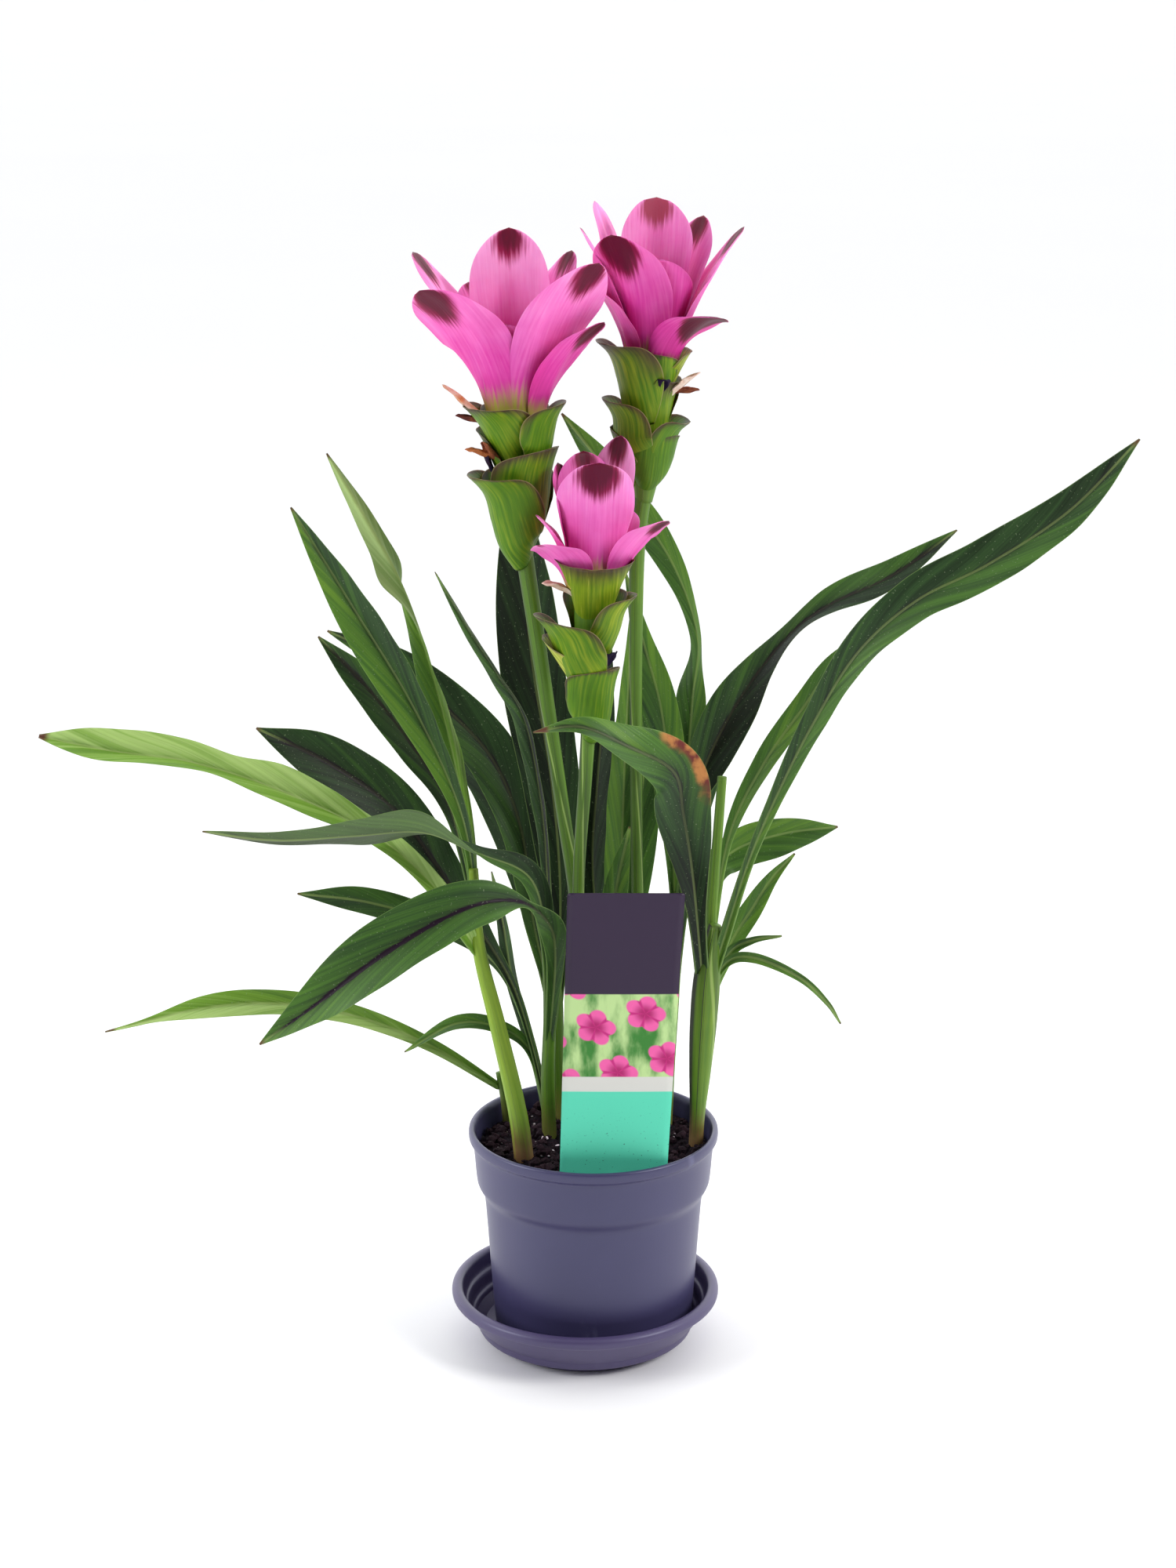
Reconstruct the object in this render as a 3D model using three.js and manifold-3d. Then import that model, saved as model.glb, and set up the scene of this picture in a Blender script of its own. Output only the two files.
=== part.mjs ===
// A curcuma in flower, in a nursery pot on its saucer.
// Millimetres, +Z up. The origin is the centre of the saucer's underside, and -Y is the front.
import * as THREE from "three";
import { mergeVertices } from "three/addons/utils/BufferGeometryUtils.js";
import Module from "manifold-3d";

// Pot: a 12 cm nursery pot that stands a little right of the saucer's middle.
const POT_X = 4;
const POT_RIM_RADIUS = 60;
const POT_TOP = 108;
const POT_BAND_BOTTOM = 81;
const POT_BODY_RADIUS = 52.8;
const POT_BASE_RADIUS = 47;
const POT_BASE = 4.3;
const POT_WALL = 1.5;
const POT_FLOOR = 2;
const DRAIN_HOLES = 8;
const DRAIN_RADIUS = 3.5;
const DRAIN_CIRCLE = 36;

// Saucer: a dished plate with a rolled lip and a step inside its wall.
const SAUCER_RADIUS = 65;
const SAUCER_FOOT_RADIUS = 44.6;
const SAUCER_TOP = 26.5;
const SAUCER_FLOOR = 4;

// Soil: fills the pot to a little under the rim, lumpy on top.
const SOIL_TOP = 98;
const SOIL_RADIUS = 55.1;
const SOIL_LUMP = 1.1;
const SOIL_RINGS = [49, 37, 24, 11];
const STEM_FOOT = 88;

// Label: a plastic card that stands behind the front wall on a stake pushed into the soil.
// It leans a little to the right.
const LABEL_Y = -43;
const LABEL_TOP = 239;
const LABEL_BOTTOM = 101;
const LABEL_TOP_X = 18.8;
const LABEL_BOTTOM_X = 13.2;
const LABEL_TOP_WIDTH = 53.6;
const LABEL_BOTTOM_WIDTH = 50.2;
const LABEL_CORNER = 3;
const LABEL_THICK = 0.8;
const STAKE_WIDTH = 20;
const STAKE_TIP = 10;
const STAKE_POINT = 8;
const STAKE_END = 74;

// Plant tissue.
const BLADE_THICK = 0.9;
const PETAL_THICK = 0.9;
const BRACT_THICK = 1;
const GAP = 0.3;
const HOLE_GAP = 0.4;
const ROUND_SIDES = 28;

const wasm = await Module();
wasm.setup();

const point = ([x, y, z]) => new THREE.Vector3(x, y, z);
const radians = THREE.MathUtils.degToRad;

// A value read from evenly spaced stops, smooth from one stop to the next.
function smooth(stops, t) {
  const place = t * (stops.length - 1);
  const i = Math.min(Math.floor(place), stops.length - 2);
  const u = place - i;
  const [p1, p2] = [stops[i], stops[i + 1]];
  const p0 = i > 0 ? stops[i - 1] : 2 * p1 - p2;
  const p3 = i < stops.length - 2 ? stops[i + 2] : 2 * p2 - p1;
  const [m1, m2] = [(p2 - p0) / 2, (p3 - p1) / 2];
  return p1 + u * (m1 + u * (3 * (p2 - p1) - 2 * m1 - m2 + u * (2 * (p1 - p2) + m1 + m2)));
}

// A solid for joining and cutting, from any closed geometry.
function solidFrom(geometry) {
  const bare = new THREE.BufferGeometry();
  bare.setAttribute("position", geometry.getAttribute("position"));
  bare.setIndex(geometry.index);
  const merged = mergeVertices(bare, 1e-4);
  const corners = merged.index.array;
  const kept = [];
  for (let i = 0; i < corners.length; i += 3) {
    const [a, b, c] = corners.slice(i, i + 3);
    if (a !== b && b !== c && c !== a) kept.push(a, b, c);
  }
  return new wasm.Manifold(
    new wasm.Mesh({
      numProp: 3,
      vertProperties: merged.attributes.position.array,
      triVerts: new Uint32Array(kept),
    }),
  );
}

// A solid from a list of vertices and the triangles between them.
function solidFromFaces(vertices, faces) {
  return new wasm.Manifold(
    new wasm.Mesh({
      numProp: 3,
      vertProperties: new Float32Array(vertices.flatMap((v) => v.toArray())),
      triVerts: new Uint32Array(faces.flat()),
    }),
  );
}

const joined = (solids) => solids.reduce((whole, piece) => whole.add(piece));

// The largest body of a solid: slivers that a cut leaves loose are dropped.
function largestBody(solid) {
  const bodies = solid.decompose();
  return bodies.reduce((best, body) => (body.volume() > best.volume() ? body : best));
}

function meshFrom(name, solid, material) {
  const made = solid.getMesh();
  const positions = new Float32Array(made.numVert * 3);
  for (let i = 0; i < made.numVert; i += 1) {
    const start = i * made.numProp;
    positions.set(made.vertProperties.subarray(start, start + 3), i * 3);
  }
  const geometry = new THREE.BufferGeometry();
  geometry.setAttribute("position", new THREE.BufferAttribute(positions, 3));
  geometry.setIndex(new THREE.BufferAttribute(made.triVerts, 1));
  geometry.computeVertexNormals();
  const mesh = new THREE.Mesh(geometry, material);
  mesh.name = name;
  return mesh;
}

// A surface of revolution about Z from [radius, height] pairs.
function lathe(profile) {
  const outline = profile.map(([radius, height]) => new THREE.Vector2(radius, height));
  return new THREE.LatheGeometry(outline, ROUND_SIDES).rotateX(Math.PI / 2);
}

// The path of a blade or stem, its direction, and the directions across and out of its face.
// Unturned, the face looks along facing. Turn is about the path, in degrees.
function frameAt(curve, t, facing, turn) {
  const centre = curve.getPointAt(t);
  const tangent = curve.getTangentAt(t);
  const flat = new THREE.Vector3().crossVectors(tangent, facing).normalize();
  const out = new THREE.Vector3().crossVectors(flat, tangent);
  const angle = radians(turn);
  const across = flat.clone().multiplyScalar(Math.cos(angle)).addScaledVector(out, Math.sin(angle));
  const face = out.multiplyScalar(Math.cos(angle)).addScaledVector(flat, -Math.sin(angle));
  return { centre, across, face };
}

// A leaf, petal or bract: a thin closed blade along a smooth curve through the given points.
// widths and turns are evenly spaced stops from base to tip. fold is the rise of each half from
// the midrib and cup the bend of each half, in degrees: both lift the edges towards the face.
// stalk is the thickness of a leaf's stalk, which thins into the blade by the middle of its length.
function blade(spec) {
  const shape = { turns: [0, 0], fold: 16, cup: 0, stalk: 3, thick: BLADE_THICK, steps: 9, columns: 3,
    facing: [0, -1, 0], swell: 0, ...spec };
  const curve = new THREE.CatmullRomCurve3(shape.path.map(point), false, "catmullrom", 0.5);
  const { steps, columns, thick, swell } = shape;
  const vertices = [];
  for (let i = 0; i <= steps; i += 1) {
    const t = i / steps;
    const { centre, across, face } = frameAt(curve, t, point(shape.facing), smooth(shape.turns, t));
    const half = Math.max(smooth(shape.widths, t), 1) / 2 + swell;
    const flat = shape.stalk ? THREE.MathUtils.smoothstep(t, 0.05, 0.5) : 1;
    const ribThick = THREE.MathUtils.lerp(shape.stalk, thick * 1.2, flat);
    const edgeThick = THREE.MathUtils.lerp(shape.stalk * 0.5, thick * 0.8, flat);
    const bend = radians(shape.cup);
    const rise = radians(shape.fold) * flat;
    const top = [];
    const bottom = [];
    for (let k = 0; k < columns; k += 1) {
      const v = (2 * k) / (columns - 1) - 1;
      const arc = Math.abs(v) * half;
      const chord = bend ? (half * Math.sin(Math.abs(v) * bend)) / bend : arc;
      const lift = bend ? (half * (1 - Math.cos(v * bend))) / bend : 0;
      const sideways = Math.sign(v) * (chord * Math.cos(rise) - lift * Math.sin(rise));
      const upward = chord * Math.sin(rise) + lift * Math.cos(rise);
      const middle = centre.clone().addScaledVector(across, sideways).addScaledVector(face, upward);
      const halfThick = THREE.MathUtils.lerp(ribThick, edgeThick, Math.abs(v)) / 2 + swell;
      top.push(middle.clone().addScaledVector(face, halfThick));
      bottom.push(middle.clone().addScaledVector(face, -halfThick));
    }
    vertices.push(...top, ...bottom);
  }
  const topAt = (i, k) => i * 2 * columns + k;
  const bottomAt = (i, k) => topAt(i, k) + columns;
  const faces = [];
  for (let i = 0; i < steps; i += 1) {
    for (let k = 0; k < columns - 1; k += 1) {
      faces.push([topAt(i, k), topAt(i, k + 1), topAt(i + 1, k + 1)]);
      faces.push([topAt(i, k), topAt(i + 1, k + 1), topAt(i + 1, k)]);
      faces.push([bottomAt(i, k), bottomAt(i + 1, k + 1), bottomAt(i, k + 1)]);
      faces.push([bottomAt(i, k), bottomAt(i + 1, k), bottomAt(i + 1, k + 1)]);
    }
    const last = columns - 1;
    faces.push([bottomAt(i, 0), topAt(i, 0), topAt(i + 1, 0)]);
    faces.push([bottomAt(i, 0), topAt(i + 1, 0), bottomAt(i + 1, 0)]);
    faces.push([bottomAt(i, last), topAt(i + 1, last), topAt(i, last)]);
    faces.push([bottomAt(i, last), bottomAt(i + 1, last), topAt(i + 1, last)]);
  }
  for (let k = 0; k < columns - 1; k += 1) {
    faces.push([bottomAt(0, k), bottomAt(0, k + 1), topAt(0, k + 1)]);
    faces.push([bottomAt(0, k), topAt(0, k + 1), topAt(0, k)]);
    faces.push([bottomAt(steps, k), topAt(steps, k + 1), bottomAt(steps, k + 1)]);
    faces.push([bottomAt(steps, k), topAt(steps, k), topAt(steps, k + 1)]);
  }
  return solidFromFaces(vertices, faces);
}

// A round stem along a smooth curve: radii are evenly spaced stops from foot to top.
function stem({ path, radii, sides = 8, steps = 7, swell = 0 }) {
  const curve = new THREE.CatmullRomCurve3(path.map(point), false, "catmullrom", 0.5);
  const vertices = [];
  for (let i = 0; i <= steps; i += 1) {
    const { centre, across, face } = frameAt(curve, i / steps, point([0, -1, 0]), 0);
    const radius = smooth(radii, i / steps) + swell;
    for (let k = 0; k < sides; k += 1) {
      const angle = (2 * Math.PI * k) / sides;
      const place = centre.clone().addScaledVector(across, radius * Math.sin(angle));
      vertices.push(place.addScaledVector(face, radius * Math.cos(angle)));
    }
  }
  const faces = [];
  for (let i = 0; i < steps; i += 1) {
    for (let k = 0; k < sides; k += 1) {
      const next = (k + 1) % sides;
      const [a, b] = [i * sides + k, i * sides + next];
      faces.push([a, b, b + sides], [a, b + sides, a + sides]);
    }
  }
  for (let k = 1; k < sides - 1; k += 1) {
    const top = steps * sides;
    faces.push([0, k + 1, k], [top, top + k, top + k + 1]);
  }
  return solidFromFaces(vertices, faces);
}

// The colours are the photograph's, as seen.
const finish = (color, roughness) =>
  new THREE.MeshStandardMaterial({ color, roughness, metalness: 0, side: THREE.DoubleSide });
const plastic = finish("#5b5674", 0.45);
const peat = finish("#21141c", 0.95);
const card = finish("#53305f", 0.35);
const leafGreen = finish("#3d6a35", 0.45);
const limeGreen = finish("#6f9a3a", 0.45);
const spikeGreen = finish("#5f8b2a", 0.5);
const pink = finish("#e256ac", 0.5);

const plant = new THREE.Group();

// Saucer: one wall of even thickness, from the foot up to the rolled lip, with its inner step.
function saucerSolid() {
  const lip = SAUCER_RADIUS;
  const outside = [
    [0, 0], [SAUCER_FOOT_RADIUS, 0], [53, 8], [59.5, 17], [61.8, 20.6], [lip - 0.8, 21], [lip, 22],
    [lip, SAUCER_TOP - 2], [lip - 1, SAUCER_TOP - 0.6], [lip - 3, SAUCER_TOP],
  ];
  const inside = [
    [lip - 4.8, SAUCER_TOP - 0.6], [lip - 5.6, SAUCER_TOP - 2.2], [58.6, 18.5], [56.6, 17.6],
    [55.6, 11.5], [53.6, 10.6], [52.5, 5.4], [51.5, SAUCER_FLOOR], [0, SAUCER_FLOOR],
  ];
  return solidFrom(lathe([...outside, ...inside]));
}
plant.add(meshFrom("saucer", saucerSolid(), plastic));

// Pot: a tapered wall, a deeper band at the rim with a small bead, and drain holes in its floor.
const potOutside = [
  [POT_BASE_RADIUS - 0.5, POT_BASE], [POT_BASE_RADIUS + 0.7, POT_BASE + 1.2], [49.4, 29],
  [POT_BODY_RADIUS, POT_BAND_BOTTOM - 4.5], [56.4, POT_BAND_BOTTOM], [57.8, POT_TOP - 6],
  [POT_RIM_RADIUS - 0.6, POT_TOP - 5], [POT_RIM_RADIUS, POT_TOP - 4], [POT_RIM_RADIUS, POT_TOP - 1],
  [POT_RIM_RADIUS - 0.7, POT_TOP],
];
const potInside = [
  [POT_RIM_RADIUS - 2.6, POT_TOP], [57.8 - POT_WALL, POT_TOP - 4.5],
  [56.4 - POT_WALL, POT_BAND_BOTTOM + 0.6], [POT_BODY_RADIUS - POT_WALL, POT_BAND_BOTTOM - 4],
  [49.4 - POT_WALL, 29],
  [POT_BASE_RADIUS - 1, POT_BASE + POT_FLOOR],
];
function potSolid() {
  const bottom = [[0, POT_BASE + 1], [30, POT_BASE + 1], [31, POT_BASE]];
  const body = solidFrom(lathe([...bottom, ...potOutside, ...potInside, [0, POT_BASE + POT_FLOOR]]));
  const holes = [];
  for (let i = 0; i < DRAIN_HOLES; i += 1) {
    const angle = (2 * Math.PI * (i + 0.5)) / DRAIN_HOLES;
    const drill = new THREE.CylinderGeometry(DRAIN_RADIUS, DRAIN_RADIUS, 8, 8).rotateX(Math.PI / 2);
    drill.translate(DRAIN_CIRCLE * Math.cos(angle), DRAIN_CIRCLE * Math.sin(angle), POT_BASE);
    holes.push(solidFrom(drill));
  }
  return body.subtract(joined(holes)).translate([POT_X, 0, 0]);
}
plant.add(meshFrom("pot", potSolid(), plastic));

// Leafy shoots. Each stands on a sheathed stem, and its leaves leave that stem one above the other.
// A leaf's path runs from inside the stem to its tip. Unturned, its face looks to the front.
const SHOOTS = {
  shoot_left: {
    color: limeGreen,
    stems: [
      {
        path: [
          [-28, -19, STEM_FOOT], [-32, -16, 121], [-41, -13, 163], [-50, -12, 204], [-52, -9, 240],
        ],
        radii: [4.8, 4.2, 3.4, 2.2],
      },
    ],
    leaves: [
      {
        path: [
          [-50, -12, 200], [-71, -20, 236], [-98, -28, 263], [-139, -36, 286], [-178, -40, 300],
          [-212, -40, 305], [-246, -36, 311],
        ],
        widths: [4, 8, 9, 11, 14, 21, 17, 18, 1], turns: [-20, -30, -40, -45, -50, -60, -50, -30],
        fold: 12, steps: 11,
      },
      {
        path: [[-50, -11, 215], [-57, -2, 263], [-79, 6, 313], [-107, 12, 360], [-135, 16, 406]],
        widths: [3, 4, 8, 14, 20, 23, 20, 12, 1], turns: [10, 10, 0], fold: 24, steps: 10,
      },
      {
        path: [
          [-51, -10, 215], [-55, 4, 258], [-68, 14, 317], [-84, 20, 366], [-101, 24, 398],
          [-119, 28, 429],
        ],
        widths: [3, 4, 9, 13, 15, 13, 13, 9, 1], turns: [30, 40, 50, 60, 90, 150, 160, 150],
        steps: 10,
      },
      {
        path: [[-51, -9, 220], [-64, 20, 261], [-81, 34, 286], [-103, 44, 313], [-127, 48, 338]],
        widths: [3, 4, 7, 13, 18, 18, 13, 1], turns: [-10, -20, -10], fold: 18,
      },
    ],
  },
  shoot_low_left: {
    color: limeGreen,
    stems: [
      {
        path: [[-37, 27, STEM_FOOT], [-39, 28, 108], [-42, 29, 124]],
        radii: [3, 2.4, 1.8], steps: 4,
      },
    ],
    leaves: [
      {
        path: [
          [-42, 29, 116], [-74, 14, 143], [-107, 0, 163], [-142, -14, 175], [-179, -20, 175],
          [-225, -22, 164],
        ],
        widths: [3, 5, 7, 9, 11, 13, 14, 12, 4, 1], turns: [-40, -40, -45, -50, -45, -60], fold: 12,
        steps: 10,
      },
    ],
  },
  shoot_middle: {
    color: leafGreen,
    stems: [
      {
        path: [[-17, 12, STEM_FOOT], [-18, 8, 127], [-17, 4, 161], [-18, 0, 196]],
        radii: [3.6, 3.2, 2.4],
      },
    ],
    leaves: [
      {
        path: [
          [-17, 4, 150], [-14, -9, 195], [-17, -23, 218], [-31, -42, 235], [-55, -55, 235],
          [-90, -64, 217], [-123, -68, 193], [-147, -70, 176],
        ],
        widths: [4, 6, 8, 11, 7, 22, 30, 32, 28, 16, 1], turns: [0, 0, -20, -35, -40, -35, -30],
        fold: 14, steps: 13,
      },
      {
        path: [
          [-17, 3, 161], [-19, -4, 207], [-26, -16, 238], [-49, -30, 254], [-73, -42, 268],
          [-103, -54, 270], [-137, -64, 271], [-169, -72, 277],
        ],
        widths: [4, 5, 8, 12, 10, 13, 22, 24, 20, 12, 1],
        turns: [-20, -40, -70, -100, -130, -140, -140], fold: 18, steps: 13,
      },
      {
        path: [
          [-18, 11, 110], [-26, 14, 146], [-36, 13, 178], [-54, 12, 209], [-71, 10, 237],
          [-90, 6, 265], [-119, 2, 288], [-152, -2, 306],
        ],
        widths: [3, 3, 4, 6, 14, 21, 25, 27, 22, 1], turns: [0, 0, -20, -30, -20], fold: 12,
        steps: 11,
      },
      {
        path: [
          [-18, 11, 105], [-27, 20, 146], [-42, 24, 180], [-70, 22, 202], [-103, 14, 216],
          [-136, 6, 223],
        ],
        widths: [3, 3, 3, 4, 9, 14, 13, 1], turns: [0, -30, -40], fold: 14,
      },
      {
        path: [[-18, 11, 108], [-27, 14, 141], [-42, 8, 155], [-62, 2, 159], [-86, -4, 147]],
        widths: [2, 3, 5, 8, 9, 7, 1], turns: [-10, -50, -60], stalk: 2, steps: 8,
      },
      {
        path: [[-18, 11, 104], [-25, 24, 133], [-35, 30, 171], [-40, 33, 202], [-45, 35, 225]],
        widths: [2, 3, 6, 8, 7, 1], turns: [20, 40], stalk: 2, steps: 8,
      },
    ],
  },
  shoot_back: {
    color: leafGreen,
    stems: [
      {
        path: [[-13, 32, STEM_FOOT], [-14, 33, 125], [-14, 35, 162], [-15, 38, 190]],
        radii: [4, 3.6, 2.4],
      },
    ],
    leaves: [
      {
        path: [
          [-14, 34, 150], [-25, 40, 197], [-31, 50, 241], [-45, 66, 272], [-68, 78, 295],
          [-95, 88, 316], [-127, 96, 330],
        ],
        widths: [3, 6, 12, 20, 26, 28, 24, 14, 1], turns: [0, -10, -30, -20], fold: 14, steps: 10,
      },
      {
        path: [
          [-14, 35, 149], [-12, 40, 212], [-16, 46, 266], [-24, 52, 315], [-29, 56, 360],
          [-34, 58, 418],
        ],
        widths: [4, 8, 16, 24, 29, 32, 32, 28, 17, 1], turns: [0, 5, 0], fold: 14, steps: 10,
      },
      {
        path: [
          [-14, 34, 160], [-17, 24, 210], [-20, 24, 257], [-28, 32, 300], [-41, 40, 321],
          [-57, 46, 345], [-71, 50, 369],
        ],
        widths: [3, 4, 5, 8, 12, 14, 11, 7, 1], turns: [20, 50, 50], fold: 24, steps: 10,
      },
      {
        path: [[-14, 36, 145], [-16, 70, 219], [-19, 92, 273], [-21, 108, 317], [-23, 118, 355]],
        widths: [3, 6, 14, 20, 19, 11, 1], turns: [0, 10, 20],
      },
      {
        path: [[-15, 37, 147], [-30, 66, 208], [-46, 96, 248], [-73, 124, 276], [-104, 146, 297]],
        widths: [3, 6, 14, 22, 21, 12, 1], turns: [0, -20, -30],
      },
    ],
  },
  shoot_centre: {
    color: leafGreen,
    stems: [
      {
        path: [[11, 42, STEM_FOOT], [11, 43, 125], [12, 44, 160]],
        radii: [3.8, 3.4, 2.4],
      },
    ],
    leaves: [
      {
        path: [[12, 43, 140], [17, 50, 217], [19, 56, 271], [21, 60, 317], [22, 62, 347]],
        widths: [4, 9, 17, 20, 17, 10, 1], turns: [0, -20, -30],
      },
      {
        path: [[12, 44, 138], [4, 60, 214], [6, 68, 259], [10, 74, 305], [12, 78, 340]],
        widths: [4, 9, 17, 21, 18, 10, 1], turns: [0, 20, 20],
      },
      {
        path: [[12, 43, 125], [15, 70, 153], [21, 100, 172], [28, 130, 179], [36, 158, 174]],
        widths: [3, 7, 18, 23, 20, 12, 1], turns: [0, 0], facing: [0, 0, 1],
      },
      {
        path: [[12, 44, 135], [24, 80, 216], [30, 104, 266], [30, 122, 310]],
        widths: [3, 7, 17, 21, 18, 10, 1], turns: [0, -10],
      },
      {
        path: [[11, 40, 128], [12, 24, 175], [14, 14, 217], [21, 10, 255]],
        widths: [3, 4, 9, 13, 11, 1], turns: [0, 10], steps: 8,
      },
    ],
  },
  shoot_back_right: {
    color: leafGreen,
    stems: [
      {
        path: [[38, 26, STEM_FOOT], [40, 27, 130], [43, 30, 175], [45, 34, 215]],
        radii: [4.4, 4, 3.4, 2.4],
      },
    ],
    leaves: [
      {
        path: [
          [44, 30, 190], [50, 36, 249], [58, 44, 276], [75, 56, 306], [97, 68, 332],
          [118, 76, 347], [150, 86, 360], [181, 92, 381],
        ],
        widths: [4, 4, 5, 12, 23, 25, 18, 12, 17, 18, 12, 1],
        turns: [0, 0, 0, 0, 10, 20, 40, 62, 50, 40, 40, 40], fold: 14, steps: 14,
      },
      {
        path: [
          [44, 33, 200], [49, 50, 268], [52, 58, 305], [54, 62, 336], [41, 64, 372], [16, 62, 408],
          [-11, 58, 443],
        ],
        widths: [4, 4, 8, 14, 17, 11, 12, 16, 15, 12, 1],
        turns: [0, 0, 0, 10, 30, 62, 40, 20, 0, -10, -10], fold: 14, steps: 13,
      },
      {
        path: [
          [44, 31, 190], [42, 38, 240], [40, 42, 275], [36, 42, 306], [28, 42, 336], [19, 40, 371],
        ],
        widths: [3, 4, 8, 14, 19, 20, 16, 8, 1], turns: [0, 10, 20], fold: 20,
      },
      {
        path: [[43, 30, 160], [51, 64, 237], [62, 96, 270], [82, 124, 295], [105, 146, 316]],
        widths: [3, 6, 14, 22, 21, 12, 1], turns: [0, 20, 30],
      },
    ],
  },
  shoot_right: {
    color: limeGreen,
    stems: [
      {
        path: [[53, -2, STEM_FOOT], [54, -3, 118], [56, -5, 160], [58, -6, 190], [61, -8, 212]],
        radii: [3.5, 3.6, 5.2, 6.4, 6.2, 3],
      },
      {
        path: [[58, -2, 175], [60, 0, 221], [62, 2, 251], [64, 4, 281]],
        radii: [2.8, 2.2], steps: 4,
      },
    ],
    leaves: [
      {
        path: [
          [58, -6, 180], [66, -10, 209], [76, -18, 247], [88, -26, 281], [103, -33, 316],
          [122, -40, 351], [147, -43, 375], [178, -42, 391], [214, -36, 414], [245, -26, 444],
        ],
        widths: [5, 5, 5, 7, 11, 15, 20, 24, 23, 16, 1], turns: [0, 10, 10, 20, 30, 30, 30, 30, 30],
        stalk: 4, fold: 12, steps: 14,
      },
      {
        path: [
          [55, -9, 189], [50, -20, 239], [45, -28, 272], [40, -38, 295], [19, -50, 310],
          [-2, -54, 320], [-23, -52, 317],
        ],
        widths: [6, 7, 10, 16, 23, 27, 27, 24, 17, 9, 1],
        turns: [0, 0, 0, 0, 0, -10, -30, -50, -55, -55], fold: 12, stalk: 4, steps: 14,
      },
      {
        path: [
          [59, 0, 195], [68, 14, 248], [84, 18, 283], [103, 20, 311], [116, 20, 331],
          [131, 18, 347],
        ],
        widths: [3, 3, 4, 7, 10, 12, 12, 9, 1], turns: [20, 30, 20],
      },
      {
        path: [[57, 0, 180], [60, 24, 222], [71, 32, 236], [94, 28, 246], [120, 20, 252]],
        widths: [3, 3, 4, 10, 16, 18, 12, 1], turns: [0, 20, 30],
      },
      {
        path: [[57, -2, 165], [69, 14, 194], [80, 18, 212], [89, 20, 226], [100, 22, 238]],
        widths: [2, 4, 8, 11, 10, 6, 1], turns: [0, 20], steps: 8,
      },
      {
        path: [[57, -3, 170], [68, 4, 193], [79, 2, 201], [93, 0, 204]],
        widths: [2, 4, 6, 5, 3, 1], turns: [0, 30], stalk: 2, steps: 6,
      },
      {
        path: [
          [57, -4, 170], [66, -6, 192], [79, -14, 198], [100, -22, 191], [113, -27, 180],
          [119, -30, 171],
        ],
        widths: [2, 3, 5, 5, 4, 3, 1], turns: [0, 30], stalk: 2, steps: 8,
      },
    ],
  },
};

for (const [name, { color, stems, leaves }] of Object.entries(SHOOTS)) {
  plant.add(meshFrom(name, joined([...stems.map(stem), ...leaves.map(blade)]), color));
}

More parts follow.
